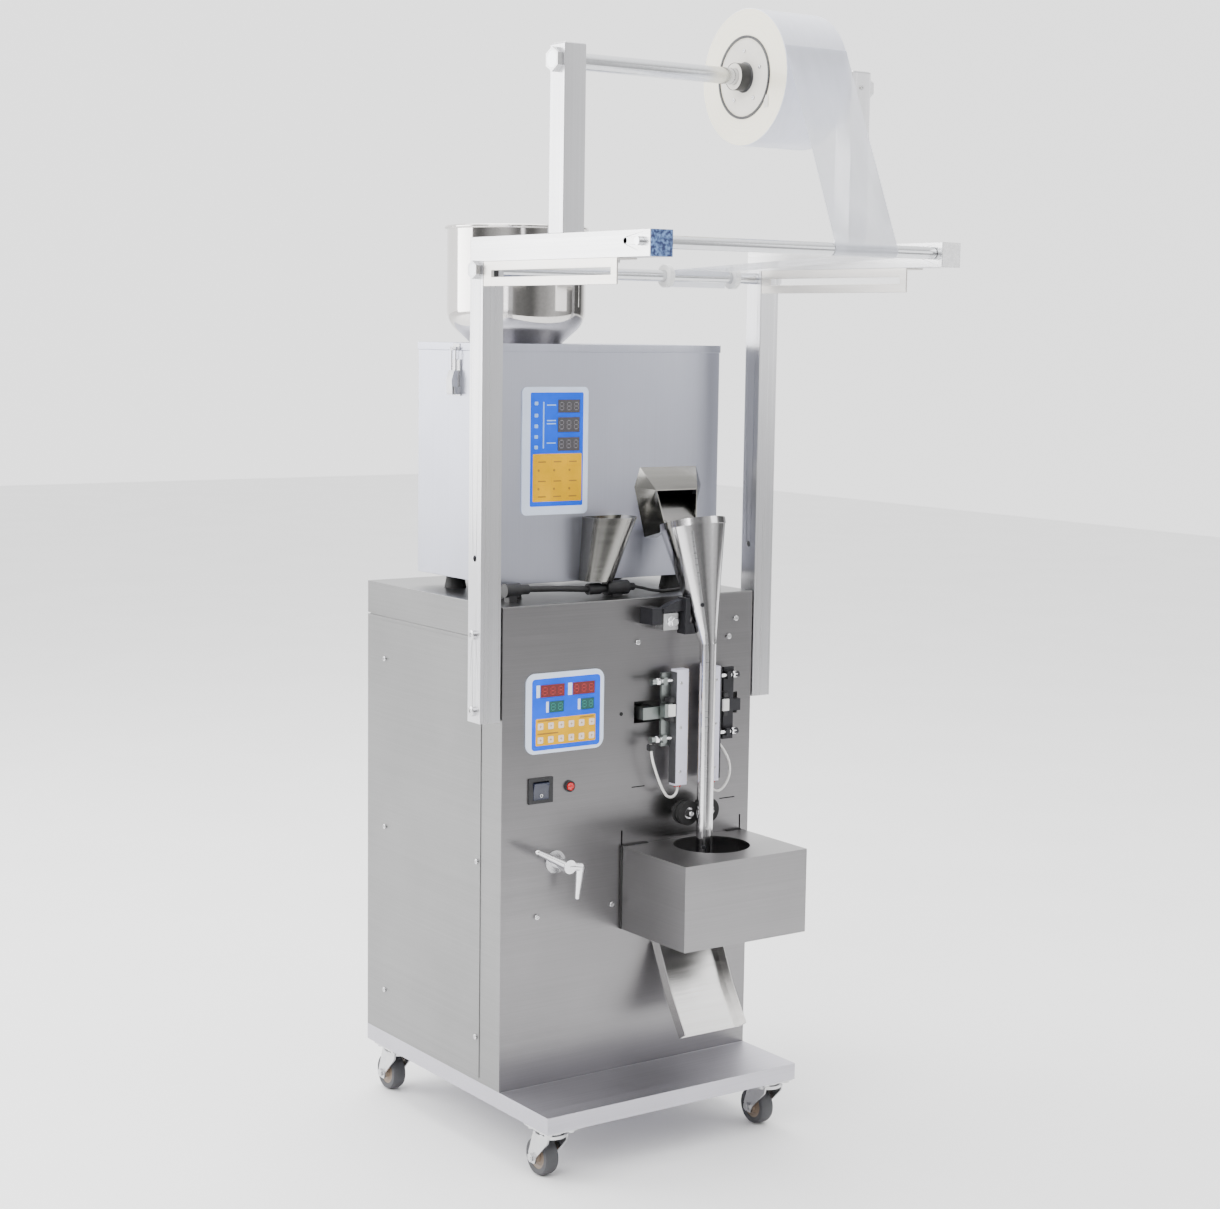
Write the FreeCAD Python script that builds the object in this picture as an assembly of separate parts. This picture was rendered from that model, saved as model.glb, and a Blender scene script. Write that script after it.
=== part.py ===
"""Vertical form fill sealer on casters, with a weigh filler on top and an overhead film frame.

Millimetres. X runs to the machine's right as an operator facing it sees it, Y runs from the
operator into the machine, Z is up. The origin is on the floor under the middle of the machine.
"""
import FreeCAD, Part
import math
import os

V = FreeCAD.Vector
X_AXIS = V(1, 0, 0)
Y_AXIS = V(0, 1, 0)
Z_AXIS = V(0, 0, 1)

# ---- driving dimensions -------------------------------------------------------------------
SHEET = 2.0                 # cabinet sheet thickness
CAB_HALF = 200.0            # half the cabinet's width
CAB_DEPTH = 350.0           # front panel at Y 0, back at Y 350
CASTER_H = 70.0             # floor to the tray's underside
CAB_Z0 = 92.0               # top of the base tray
CAB_Z1 = 723.0              # top of the cabinet
SEAM_Z = 678.0              # joint between the side panels and the top cap
TRAY_FRONT = -114.0         # front edge of the platform
PLATFORM_GROOVE = (-1.6, -0.8)                        # folded edge in front of the front panel

TUBE = 30.0                 # square tube of the film frame
TUBE_WALL = 1.5
POST_IN = 203.0             # inner face of the posts and arms
POST_OUT = POST_IN + TUBE
POST_Z0 = 577.0
ARM_Z0 = 1152.0
ARM_Z1 = ARM_Z0 + TUBE
ARM_FRONT = -348.0
ARM_BACK = 30.0
ROLL_POST_TOP = 1400.0
BOLT_ZS = (592.0, 689.0)                              # bolts through the posts into the cabinet
SPARE_Z = 785.0                                       # unused height hole above them

SHAFT_Y, SHAFT_Z, SHAFT_R = -160.0, 1380.0, 10.0      # film roll shaft
GUIDE_Y, GUIDE_Z, GUIDE_R = -332.0, 1169.0, 7.5       # turning guide roller at the arms' ends
ROD_Y, ROD_Z, ROD_R = 13.0, 1142.0, 7.5               # fixed rod through the lower posts
ROLL_R, CORE_R = 82.5, 46.0
ROLL_X0, ROLL_X1 = 41.0, 139.0                        # film width 98
FILM_T = 0.8
FILM_GAP = 0.5                                        # film to the rollers it runs round
FILM_SHIFT = 20.0                                     # sideways drift of the film at the rod
FILM_TAIL = 14.0                                      # loose end behind the rod

BOX_X0, BOX_X1 = -171.0, 182.0                        # weigher casing
BOX_Y0, BOX_Y1 = 60.0, 263.0
BOX_Z0, BOX_Z1 = 743.0, 1052.0
LID_H = 10.0
HOPPER_X, HOPPER_Y, HOPPER_R = -79.0, 165.0, 92.0
HOPPER_TOP = 1202.0
CHUTE_MOUTH = (56.0, 141.0, 852.0, 886.0)             # casing outlet: X, then Z
FOOT_XY = [(x, y) for x in (-136.0, 122.0) for y in (84.0, 222.0)]
BUCKET = (66.0, 132.0, 132.0, 198.0, 872.0, 942.0)    # weigh bucket: X, Y, Z
FLAP_Y = 202.0                                        # bucket flap hinge
LATCH_Y, LATCH_PIN_Z = 162.0, 989.0
LATCH_PIN_X = BOX_X0 - 7.5
SCOOP_WALL = 1.2
CABLE_Y, CABLE_Z, CABLE_R = 42.0, 738.5, 4.0          # weigher's signal cable
PLUG_Z, THIN_R = 733.5, 2.0                           # its plug, and the thin cable after it

TUBE_X, TUBE_Y, TUBE_R = 91.0, -45.0, 11.0            # forming tube, vertical part
BEND_Z = 663.0
CONE_H = 154.0                                        # bend to rim, along the leaning axis
LEAN = math.radians(14.0)                             # funnel leans back towards the weigher
RIM_R = 43.0

JAW_STROKE = 13.0                                     # each vertical jaw
CROSS_STROKE = 14.0                                   # each cross jaw
PINCH_OFFSET = 17.0                                   # pull wheel centre to the film seam

WHEEL_Z = 435.0                                       # pull wheel axis height
GEAR_TEETH = 17
CROSS_Z = 330.0                                       # cross jaw rod height
CROSS_RODS = (30.0, 152.0)
CAM_Z = 240.0
APERTURES = [(5.0, 46.0), (136.0, 177.0)]             # openings for the two jaw arms
APERTURE_Z = (557.0, 586.0)
CHUTE_X = (38.0, 141.0)
JAW_PIN_ZS = (537.0, 614.0)                           # pins that carry each heater bar
LEAD_R = 1.75                                         # heater leads

GUARD_X0, GUARD_X1 = -13.0, 187.0
GUARD_Z0, GUARD_Z1 = 283.0, 395.0
GUARD_DEPTH = 143.0

LEVER_X, LEVER_Z = -118.0, 387.0
SWITCH_X, SWITCH_Z = -141.5, 483.0
BUTTON_X, BUTTON_Z = -96.5, 484.0

CASTER_XY = {"front_left": (-175.0, -85.0), "front_right": (175.0, -85.0),
             "back_left": (-175.0, 305.0), "back_right": (175.0, 305.0)}
WHEEL_R = 25.0
WHEEL_TRAIL = 20.0
AXLE_R = 3.0
RUN_FIT = 0.05                                        # radial clearance of running fits


# ---- shape helpers ------------------------------------------------------------------------
def box(x0, x1, y0, y1, z0, z1):
    return Part.makeBox(x1 - x0, y1 - y0, z1 - z0, V(x0, y0, z0))


def rod_x(x0, x1, y, z, r):
    return Part.makeCylinder(r, x1 - x0, V(x0, y, z), X_AXIS)


def rod_y(y0, y1, x, z, r):
    return Part.makeCylinder(r, y1 - y0, V(x, y0, z), Y_AXIS)


def rod_z(z0, z1, x, y, r):
    return Part.makeCylinder(r, z1 - z0, V(x, y, z0), Z_AXIS)


def rod(p, q, r0, r1=None):
    """Round bar from p to q, tapering from r0 to r1."""
    p, q = V(*p), V(*q)
    along = q.sub(p)
    if r1 is None or abs(r1 - r0) < 1e-6:
        return Part.makeCylinder(r0, along.Length, p, along)
    return Part.makeCone(r0, r1, along.Length, p, along)


def ball(x, y, z, r):
    return Part.makeSphere(r, V(x, y, z))


def slab_x(points_yz, x0, x1):
    """Prism along X with a YZ outline."""
    wire = Part.makePolygon([V(x0, y, z) for y, z in points_yz] + [V(x0, *points_yz[0])])
    return Part.Face(wire).extrude(V(x1 - x0, 0, 0))


def slab_y(points_xz, y0, y1):
    """Prism along Y with an XZ outline."""
    corners = [V(x, y0, z) for x, z in points_xz]
    return Part.Face(Part.makePolygon(corners + [corners[0]])).extrude(V(0, y1 - y0, 0))


def polygon_face(corners):
    points = [V(*c) for c in corners]
    return Part.Face(Part.makePolygon(points + [points[0]]))


def hexahedron(low, high):
    """Solid between two four-cornered faces with matching corner order."""
    faces = [polygon_face(low[::-1]), polygon_face(high)]
    for i in range(4):
        j = (i + 1) % 4
        a, b, c, d = (V(*p) for p in (low[i], low[j], high[j], high[i]))
        if abs((b - a).cross(c - a).dot(d - a)) < 1e-3:
            faces.append(polygon_face([a, b, c, d]))
        else:
            faces += [polygon_face([a, b, c]), polygon_face([a, c, d])]
    solid = Part.Solid(Part.Shell(faces))
    if solid.Volume < 0:
        solid.reverse()
    return solid


def fuse(*shapes):
    whole = shapes[0]
    for s in shapes[1:]:
        whole = whole.fuse(s)
    return whole.removeSplitter()


def cut(shape, *tools):
    for t in tools:
        shape = shape.cut(t)
    return shape


def rounded_plate(x0, x1, z0, z1, y0, y1, r):
    plate = box(x0, x1, y0, y1, z0, z1)
    upright = [e for e in plate.Edges
               if abs(e.tangentAt(e.FirstParameter).y) > 0.99]
    return plate.makeFillet(r, upright)


def square_tube(x0, x1, y0, y1, z0, z1, along):
    outer = box(x0, x1, y0, y1, z0, z1)
    w = TUBE_WALL
    if along == "z":
        return outer.cut(box(x0 + w, x1 - w, y0 + w, y1 - w, z0 - 1, z1 + 1))
    return outer.cut(box(x0 + w, x1 - w, y0 - 1, y1 + 1, z0 + w, z1 - w))


def hex_prism(p, axis, across, height):
    r = across / math.sqrt(3.0)
    ring = [V(r * math.cos(math.radians(60 * i)), r * math.sin(math.radians(60 * i)), 0)
            for i in range(7)]
    prism = Part.Face(Part.makePolygon(ring)).extrude(V(0, 0, height))
    prism.Placement = FreeCAD.Placement(V(*p), FreeCAD.Rotation(Z_AXIS, V(*axis)))
    return prism


def tangent_path(points, name):
    """Straight runs joined by the largest tangent arcs that their neighbours allow."""
    pts = [V(*p) for p in points]
    edges = []
    start = pts[0]
    radii = []
    for a, b, c in zip(pts, pts[1:], pts[2:]):
        u = b.sub(a)
        w = c.sub(b)
        run = min(u.Length, w.Length)
        u.normalize()
        w.normalize()
        turn = math.acos(max(-1.0, min(1.0, u.dot(w))))
        setback = 0.45 * run
        radius = setback / math.tan(turn / 2)
        radii.append(radius)
        p_in = b.sub(u * setback)
        p_out = b.add(w * setback)
        bisector = w.sub(u)
        bisector.normalize()
        centre = b.add(bisector * (radius / math.cos(turn / 2)))
        mid = centre.sub(bisector * radius)
        edges.append(Part.LineSegment(start, p_in).toShape())
        edges.append(Part.Arc(p_in, mid, p_out).toShape())
        start = p_out
    edges.append(Part.LineSegment(start, pts[-1]).toShape())
    wire = Part.Wire(edges)
    print(name, "length", round(wire.Length, 1), "radii", [round(r, 1) for r in radii])
    return wire


def cord(points, r, name):
    wire = tangent_path(points, name)
    first = wire.Edges[0]
    circle = Part.Wire(Part.makeCircle(r, V(*points[0]), first.tangentAt(first.FirstParameter)))
    tube = wire.makePipeShell([circle], True, True)
    print(name, "volume", round(tube.Volume, 1), "expected", round(math.pi * r * r * wire.Length, 1))
    return tube


# ---- cabinet ------------------------------------------------------------------------------
def base_tray():
    x, y0, y1, z0 = CAB_HALF, TRAY_FRONT, CAB_DEPTH, CASTER_H
    tray = cut(box(-x, x, y0, y1, z0, CAB_Z0),
               box(-x + SHEET, x - SHEET, y0 + SHEET, y1 - SHEET, z0 + SHEET, CAB_Z0 - SHEET),
               box(-x + 14, x - 14, y0 + 64, y1 - 80, z0 - 1, z0 + SHEET + 1))
    tray = tray.cut(box(-x - 1, x + 1, *PLATFORM_GROOVE, CAB_Z0 - 0.3, CAB_Z0 + 1))
    for cx, cy in CASTER_XY.values():
        for dx, dy in caster_bolt_offsets():
            tray = tray.cut(rod_z(z0 - 1, z0 + SHEET + 1, cx + dx, cy + dy, AXLE_R))
    return [tray]


def caster_bolt_offsets():
    return [(sx * 17.0, sy * 19.0) for sx in (-1, 1) for sy in (-1, 1)]


def front_panel():
    panel = box(-CAB_HALF, CAB_HALF, 0, SHEET, CAB_Z0, CAB_Z1 - SHEET)
    holes = [box(SWITCH_X - 13, SWITCH_X + 13, -1, 3, SWITCH_Z - 12.5, SWITCH_Z + 12.5),
             rod_y(-1, 3, BUTTON_X, BUTTON_Z, 6.2),
             rod_y(-1, 3, LEVER_X, LEVER_Z, 5.0 + RUN_FIT)]
    holes += [box(x0, x1, -1, 3, *APERTURE_Z) for x0, x1 in APERTURES]
    holes += [rod_y(-1, 3, TUBE_X + s * PINCH_OFFSET, WHEEL_Z, 5.0 + RUN_FIT) for s in (-1, 1)]
    holes += [box(x - 1.2, x + 1.2, -1, 3, GUARD_Z0 - 1, GUARD_Z1 + 20)
              for x in (GUARD_X0 + 1.2, GUARD_X1 - 1.2)]
    return [cut(panel, *holes)]


def side_panels():
    """Two side sheets; the left one carries a screwed access plate."""
    z1 = SEAM_Z - 1
    left = box(-CAB_HALF, -CAB_HALF + SHEET, SHEET, CAB_DEPTH, CAB_Z0, z1)
    left = left.cut(box(-CAB_HALF - 1, -CAB_HALF + 3, 66, 296, 114, 656))
    tab = box(-CAB_HALF + SHEET, -CAB_HALF + SHEET + 1.5, 4, CAB_DEPTH - 4, 650, CAB_Z1 - 6)
    left = left.fuse(tab)
    plate = box(-CAB_HALF - 1.0, -CAB_HALF, 49, 311, 98, 672)
    right = box(CAB_HALF - SHEET, CAB_HALF, SHEET, CAB_DEPTH, CAB_Z0, z1)
    right = right.fuse(box(CAB_HALF - SHEET - 1.5, CAB_HALF - SHEET, 4, CAB_DEPTH - 4, 650, CAB_Z1 - 6))
    return [left, plate, right]


def back_panel():
    x = CAB_HALF - SHEET
    panel = box(-x, x, CAB_DEPTH - SHEET, CAB_DEPTH, CAB_Z0, SEAM_Z - 1)
    for i in range(8):
        z = 520 + 14 * i
        panel = panel.cut(box(-60, 60, CAB_DEPTH - 3, CAB_DEPTH + 1, z, z + 5))
    return [panel.cut(box(-154, -126, CAB_DEPTH - 3, CAB_DEPTH + 1, 140, 162))]


def top_cap():
    x = CAB_HALF
    cap = cut(box(-x, x, 0, CAB_DEPTH, SEAM_Z + 1, CAB_Z1),
              box(-x + SHEET, x - SHEET, -1, CAB_DEPTH - SHEET, SEAM_Z, CAB_Z1 - SHEET),
              box(-x - 1, x + 1, -1, SHEET, SEAM_Z, CAB_Z1 - SHEET))
    return [cap]


# ---- film frame ---------------------------------------------------------------------------


def lower_posts():
    posts = []
    for x0 in (-POST_OUT, POST_IN):
        x1 = x0 + TUBE
        post = square_tube(x0, x1, 0, TUBE, POST_Z0, ARM_Z0, "z")
        for z in BOLT_ZS:
            post = post.cut(rod_x(x0 - 1, x1 + 1, 15, z, 4.0))
        post = post.cut(rod_x(x0 - 1, x1 + 1, 15, SPARE_Z, 4.0))
        posts.append(post.cut(rod_x(x0 - 1, x1 + 1, ROD_Y, ROD_Z, ROD_R)))
    return posts


def arms():
    out = []
    for x0 in (-POST_OUT, POST_IN):
        x1 = x0 + TUBE
        arm = square_tube(x0, x1, ARM_FRONT, ARM_BACK, ARM_Z0, ARM_Z1, "y")
        arm = arm.cut(rod_x(x0 - 1, x1 + 1, GUIDE_Y, GUIDE_Z, 5.0 + RUN_FIT))
        arm = arm.cut(rod_x(x0 - 1, x1 + 1, GUIDE_Y + 32, GUIDE_Z + 1, 3.5))
        out.append(arm.fuse(box(x0, x1, ARM_BACK - 2, ARM_BACK, ARM_Z0, ARM_Z1)))
    out[1] = out[1].fuse(box(POST_IN, POST_OUT, ARM_FRONT, ARM_FRONT + 2, ARM_Z0, ARM_Z1))
    return out


def roller_block():
    """Plastic end plug of the left arm."""
    face = box(-POST_OUT, -POST_IN, ARM_FRONT - 2, ARM_FRONT, ARM_Z0, ARM_Z1)
    w = TUBE_WALL
    body = box(-POST_OUT + w, -POST_IN - w, ARM_FRONT, ARM_FRONT + 8, ARM_Z0 + w, ARM_Z1 - w)
    return [fuse(face, body)]


def roll_posts():
    posts = []
    for x0 in (-POST_OUT, POST_IN):
        x1 = x0 + TUBE
        y0, y1 = SHAFT_Y - TUBE / 2, SHAFT_Y + TUBE / 2
        post = square_tube(x0, x1, y0, y1, ARM_Z1, ROLL_POST_TOP, "z")
        cap = box(x0, x1, y0, y1, ROLL_POST_TOP - 6, ROLL_POST_TOP)
        rim = [e for e in cap.Edges if e.CenterOfMass.z > ROLL_POST_TOP - 0.1]
        cap = cap.makeFillet(3.0, rim)
        post = post.cut(box(x0 - 1, x1 + 1, y0 - 1, y1 + 1, ROLL_POST_TOP - 6, ROLL_POST_TOP + 1))
        post = fuse(post, cap)
        posts.append(post.cut(rod_x(x0 - 1, x1 + 1, SHAFT_Y, SHAFT_Z, SHAFT_R)))
    return posts


def slotted_rails():
    """Angle rails hung under the arms, with a long slot in the upright leg."""
    y0, y1 = -285.0, -1.0
    rails = []
    for x0 in (-POST_OUT, POST_IN):
        leg = box(x0, x0 + 2, y0, y1, ARM_Z0 - 30, ARM_Z0)
        leg = leg.cut(box(x0 - 1, x0 + 3, y0 + 12, y1 - 18, ARM_Z0 - 19, ARM_Z0 - 11))
        flange = box(x0, x0 + 28, y0, y1, ARM_Z0 - 2, ARM_Z0)
        rails.append(fuse(leg, flange))
    return rails


def fixed_shafts():
    reach = POST_OUT + 8
    return [rod_x(-reach, reach, SHAFT_Y, SHAFT_Z, SHAFT_R),
            rod_x(-reach, reach, ROD_Y, ROD_Z, ROD_R)]


def film_collars():
    out = []
    for x0 in (51.0, 160.0):
        ring = rod_x(x0, x0 + 8, ROD_Y, ROD_Z, 15.0).cut(rod_x(x0 - 1, x0 + 9, ROD_Y, ROD_Z, ROD_R))
        out.append(ring)
    return out


def guide_roller():
    spindle = 5.0
    reach = POST_OUT + 7
    return [fuse(rod_x(-reach, reach, GUIDE_Y, GUIDE_Z, spindle),
                 rod_x(-POST_IN + 1, POST_IN - 1, GUIDE_Y, GUIDE_Z, GUIDE_R))]


def film_roll():
    outer = rod_x(ROLL_X0, ROLL_X1, SHAFT_Y, SHAFT_Z, ROLL_R)
    return [outer.cut(rod_x(ROLL_X0 - 1, ROLL_X1 + 1, SHAFT_Y, SHAFT_Z, CORE_R))]


def core_chucks():
    """Flanged plugs in the core's ends, each with a clamping hub on the shaft."""
    out = []
    bore = rod_x(ROLL_X0 - 40, ROLL_X1 + 40, SHAFT_Y, SHAFT_Z, SHAFT_R + RUN_FIT)
    for face, way in ((ROLL_X0, 1), (ROLL_X1, -1)):
        a, b = sorted((face, face + 14 * way))
        disc = rod_x(a, b, SHAFT_Y, SHAFT_Z, CORE_R)
        c, d = sorted((face, face - 16 * way))
        out.append(cut(fuse(disc, rod_x(c, d, SHAFT_Y, SHAFT_Z, 16.0)), bore))
    return out


def band_sector(centre, r, start, end, x0, x1):
    """Film stretch wrapped on a roller, from angle start to end in the YZ plane (degrees)."""
    steps = 12
    a = [math.radians(start + (end - start) * i / steps) for i in range(steps + 1)]
    inner = [(centre[0] + r * math.cos(t), centre[1] + r * math.sin(t)) for t in a]
    outer = [(centre[0] + (r + FILM_T) * math.cos(t), centre[1] + (r + FILM_T) * math.sin(t)) for t in a]
    return slab_x(inner + outer[::-1], x0, x1)


def outer_tangent(c0, r0, c1, r1, side):
    """Touching points of the line that runs along both circles on the given side."""
    dy, dz = c1[0] - c0[0], c1[1] - c0[1]
    span = math.hypot(dy, dz)
    uy, uz = dy / span, dz / span
    s = (r0 - r1) / span
    c = math.sqrt(1 - s * s) * side
    ny, nz = uy * s - uz * c, uz * s + uy * c
    return (c0[0] + r0 * ny, c0[1] + r0 * nz), (c1[0] + r1 * ny, c1[1] + r1 * nz), (ny, nz)


def film_web():
    roll = (SHAFT_Y, SHAFT_Z)
    guide = (GUIDE_Y, GUIDE_Z)
    bar = (ROD_Y, ROD_Z)
    g = GUIDE_R + FILM_GAP
    p, q, n = outer_tangent(roll, ROLL_R + FILM_GAP, guide, g, -1)
    t = FILM_T
    down = slab_x([p, q, (q[0] + n[0] * t, q[1] + n[1] * t), (p[0] + n[0] * t, p[1] + n[1] * t)],
                  ROLL_X0, ROLL_X1)
    bar_r = ROD_R + FILM_GAP
    span_y, span_z = bar[0] - guide[0], bar[1] - guide[1]
    span = math.hypot(span_y, span_z)
    heading = math.atan2(span_z, span_y)
    lean = math.asin((g + bar_r) / span)
    m_angle = heading + lean - math.pi / 2            # cross tangent: under the guide, over the rod
    m = (math.cos(m_angle), math.sin(m_angle))
    a = (guide[0] + g * m[0], guide[1] + g * m[1])
    b = (bar[0] - bar_r * m[0], bar[1] - bar_r * m[1])
    start = math.degrees(math.atan2(n[1], n[0]))
    end = math.degrees(m_angle)
    while end < start:
        end += 360
    wrap = band_sector(guide, g, start, end, ROLL_X0, ROLL_X1)

    def strip(y, z, shift):
        return [(ROLL_X0 + shift, y, z), (ROLL_X1 + shift, y, z),
                (ROLL_X1 + shift, y + m[0] * t, z + m[1] * t),
                (ROLL_X0 + shift, y + m[0] * t, z + m[1] * t)]

    b_low = (b[0] - m[0] * t, b[1] - m[1] * t)        # keeps the strip above the rod's surface
    back = hexahedron(strip(a[0], a[1], 0), strip(b_low[0], b_low[1], FILM_SHIFT))
    x0, x1 = ROLL_X0 + FILM_SHIFT, ROLL_X1 + FILM_SHIFT
    over_start = math.degrees(m_angle) + 180
    over = band_sector(bar, bar_r, over_start - 360, 0, x0, x1)
    tail_y = bar[0] + bar_r
    tail = box(x0, x1, tail_y, tail_y + t, ROD_Z - FILM_TAIL, ROD_Z)
    return [fuse(down, wrap, back), fuse(over, tail)]


# ---- weigher ------------------------------------------------------------------------------


def weigher_casing():
    z1 = BOX_Z1 - LID_H
    shell = cut(box(BOX_X0, BOX_X1, BOX_Y0, BOX_Y1, BOX_Z0, z1),
                box(BOX_X0 + SHEET, BOX_X1 - SHEET, BOX_Y0 + SHEET, BOX_Y1 - SHEET, BOX_Z0 + SHEET, z1 + 1))
    x0, x1, z0, top = CHUTE_MOUTH
    return [shell.cut(box(x0, x1, BOX_Y0 - 1, BOX_Y0 + 3, z0, top))]


def weigher_lid():
    z0 = BOX_Z1 - LID_H
    lid = cut(box(BOX_X0 - 1, BOX_X1 + 1, BOX_Y0 - 1, BOX_Y1 + 1, z0, BOX_Z1),
              box(BOX_X0 + 1, BOX_X1 - 1, BOX_Y0 + 1, BOX_Y1 - 1, z0 - 1, BOX_Z1 - SHEET),
              rod_z(z0, BOX_Z1 + 1, HOPPER_X, HOPPER_Y, 61.0))
    return [lid]


def weigher_feet():
    return [Part.makeCone(15, 11.5, BOX_Z0 - CAB_Z1, V(x, y, CAB_Z1), Z_AXIS) for x, y in FOOT_XY]


def hopper():
    """Bowl with a straight wall, a rounded shoulder, a cone and a rolled rim."""
    r, wall, z_wall = HOPPER_R, 1.5, 1096.0
    shoulder = 36.0
    cone_bottom_r, cone_z = 61.0, BOX_Z1
    neck_r, neck_z = 27.0, BOX_Z1 - 36

    def profile(offset):
        centre = V(r - shoulder, 0, z_wall)
        a = math.radians(-52)
        rr = shoulder - offset
        mid = V(centre.x + rr * math.cos(a / 2), 0, centre.z + rr * math.sin(a / 2))
        end = V(centre.x + rr * math.cos(a), 0, centre.z + rr * math.sin(a))
        return mid, end

    mid, end = profile(0)
    mid_i, end_i = profile(wall)
    pts_top_o = V(r, 0, HOPPER_TOP)
    pts_top_i = V(r - wall, 0, HOPPER_TOP)
    o_wall = V(r, 0, z_wall)
    i_wall = V(r - wall, 0, z_wall)
    o_cone = V(cone_bottom_r, 0, cone_z)
    i_cone = V(cone_bottom_r - wall * 1.4, 0, cone_z)
    o_neck = V(neck_r, 0, neck_z)
    i_neck = V(neck_r - wall, 0, neck_z)
    o_out = V(neck_r, 0, neck_z - 18)
    i_out = V(neck_r - wall, 0, neck_z - 18)
    edges = [Part.LineSegment(pts_top_o, o_wall).toShape(),
             Part.Arc(o_wall, mid, end).toShape(),
             Part.LineSegment(end, o_cone).toShape(),
             Part.LineSegment(o_cone, o_neck).toShape(),
             Part.LineSegment(o_neck, o_out).toShape(),
             Part.LineSegment(o_out, i_out).toShape(),
             Part.LineSegment(i_out, i_neck).toShape(),
             Part.LineSegment(i_neck, i_cone).toShape(),
             Part.LineSegment(i_cone, end_i).toShape(),
             Part.Arc(end_i, mid_i, i_wall).toShape(),
             Part.LineSegment(i_wall, pts_top_i).toShape(),
             Part.LineSegment(pts_top_i, pts_top_o).toShape()]
    bowl = Part.Face(Part.Wire(edges)).revolve(V(0, 0, 0), Z_AXIS, 360)
    rim = Part.makeTorus(r + 0.5, 2.5, V(0, 0, HOPPER_TOP), Z_AXIS, 0, 360, 360)
    whole = bowl.fuse(rim)
    whole.translate(V(HOPPER_X, HOPPER_Y, 0))
    return [whole]


def vibrating_tray():
    """Feed trough on leaf springs over an electromagnet."""
    x0, x1, y0, y1, z0 = -125.0, 62.0, 130.0, 200.0, 962.0
    trough = box(x0, x1, y0, y1, z0, z0 + 26).cut(box(x0 + 2, x1 + 1, y0 + 2, y1 - 2, z0 + 2, z0 + 27))
    base = box(-120, 10, 135, 195, BOX_Z0 + SHEET, BOX_Z0 + SHEET + 60)
    springs = [box(x, x + 3, 140, 190, BOX_Z0 + SHEET + 60, z0) for x in (-115.0, 2.0)]
    magnet = rod_z(BOX_Z0 + SHEET + 60, z0 - 4, -56, 165, 26)
    return [fuse(trough, *springs), base, magnet]


def weigh_bucket():
    """Open bucket hung from a load cell beam."""
    x0, x1, y0, y1, z0, z1 = BUCKET
    bucket = box(x0, x1, y0, y1, z0, z1).cut(box(x0 + 1.5, x1 - 1.5, y0 + 1.5, y1 - 1.5, z0 - 1, z1 + 1))
    beam = box(x1, BOX_X1 - SHEET, 155, 175, 900, 925)
    ears = []
    for x in (x0 - 3, x1):
        ear = box(x, x + 3, y1 - 4, FLAP_Y + 3, z0 - 4, z0 + 8)
        ears.append(ear.cut(rod_x(x - 1, x + 4, FLAP_Y, z0 - 1.3, 1.6 + RUN_FIT)))
    return [fuse(bucket, *ears), beam]


def bucket_flap():
    x0, x1, y0, y1, z0, _ = BUCKET
    plate = box(x0 + 0.5, x1 - 0.5, y0, FLAP_Y, z0 - 2.2, z0 - 0.4)
    pin = rod_x(x0 - 3, x1 + 3, FLAP_Y, z0 - 1.3, 1.6)
    return [fuse(plate, pin)]


def front_funnel():
    """Oblique half funnel with its flat back on the weigher's front and its mouth cut down on the right."""
    foot, mouth = V(-27, 46, 744), V(-9, 42, 828)

    def cone(shrink):
        low = Part.makeCircle(23.0 - shrink, foot, Z_AXIS)
        high = Part.makeCircle(36.0 - shrink, mouth, Z_AXIS)
        return Part.makeLoft([Part.Wire(low), Part.Wire(high)], True)

    solid, inner = cone(0), cone(SCOOP_WALL)
    inner.translate(V(0, 0, 0.01))
    room = box(-80, 60, -20, BOX_Y0, 740, 840)
    back = box(-80, 60, BOX_Y0 - SCOOP_WALL, BOX_Y0, 740, 840).common(solid)
    bottom = rod_z(foot.z, foot.z + SCOOP_WALL, foot.x, foot.y, 22.9).common(room)
    slant = slab_y([(-20, 829), (20, 779), (60, 779), (60, 850), (-20, 850)], -100, 100)
    slant.rotate(V(0, 0, 0), Z_AXIS, -35)
    return [fuse(solid.cut(inner).common(room), back, bottom).cut(slant)]


def thin_wall(triangles, offset):
    """Folded sheet: each triangle swept by the same short offset."""
    parts = []
    for corners in triangles:
        face = polygon_face(corners)
        parts.append(face.extrude(V(*offset)))
    return fuse(*parts)


def side_chute():
    """Hood and sloping floor that lead from the weigher's front into the forming funnel."""
    t = 1.5
    y0 = BOX_Y0
    mid = 98.5
    top, shoulder, tip = 46.5, 34.5, 25.5             # half widths: casing, hood front, outlet
    foot, flare = 37.5, 55.5                          # half widths of the side plates' back edges
    a, b, i = (top, y0, 890), (shoulder, 40, 861), (tip, 28, 807)
    e, f, h = (flare, y0, 864), (foot, y0, 796), (20.0, 57, 795)
    cheek = [(a, e, b), (e, f, b), (f, i, b), (f, h, i)]
    parts = []
    for s in (-1, 1):
        triangles = [[(mid + s * x, y, z) for x, y, z in tri] for tri in cheek]
        parts.append(thin_wall(triangles, (-s * t, 0, 0)))
    hood = [(mid - top, y0, 890), (mid + top, y0, 890),
            (mid + shoulder, 40, 861), (mid - shoulder, 40, 861)]
    parts.append(polygon_face(hood).extrude(V(0, 0, -t)))
    floor = [(mid - 47, y0, 852), (mid + 47, y0, 852), (mid + 22, 27, 816), (mid - 22, 27, 816)]
    parts.append(polygon_face(floor).extrude(V(0, 0, -t)))
    chute = fuse(*parts)
    return [cut(chute, forming_solid(2.4), box(-100, 300, y0, y0 + 20, 700, 1000))]


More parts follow.
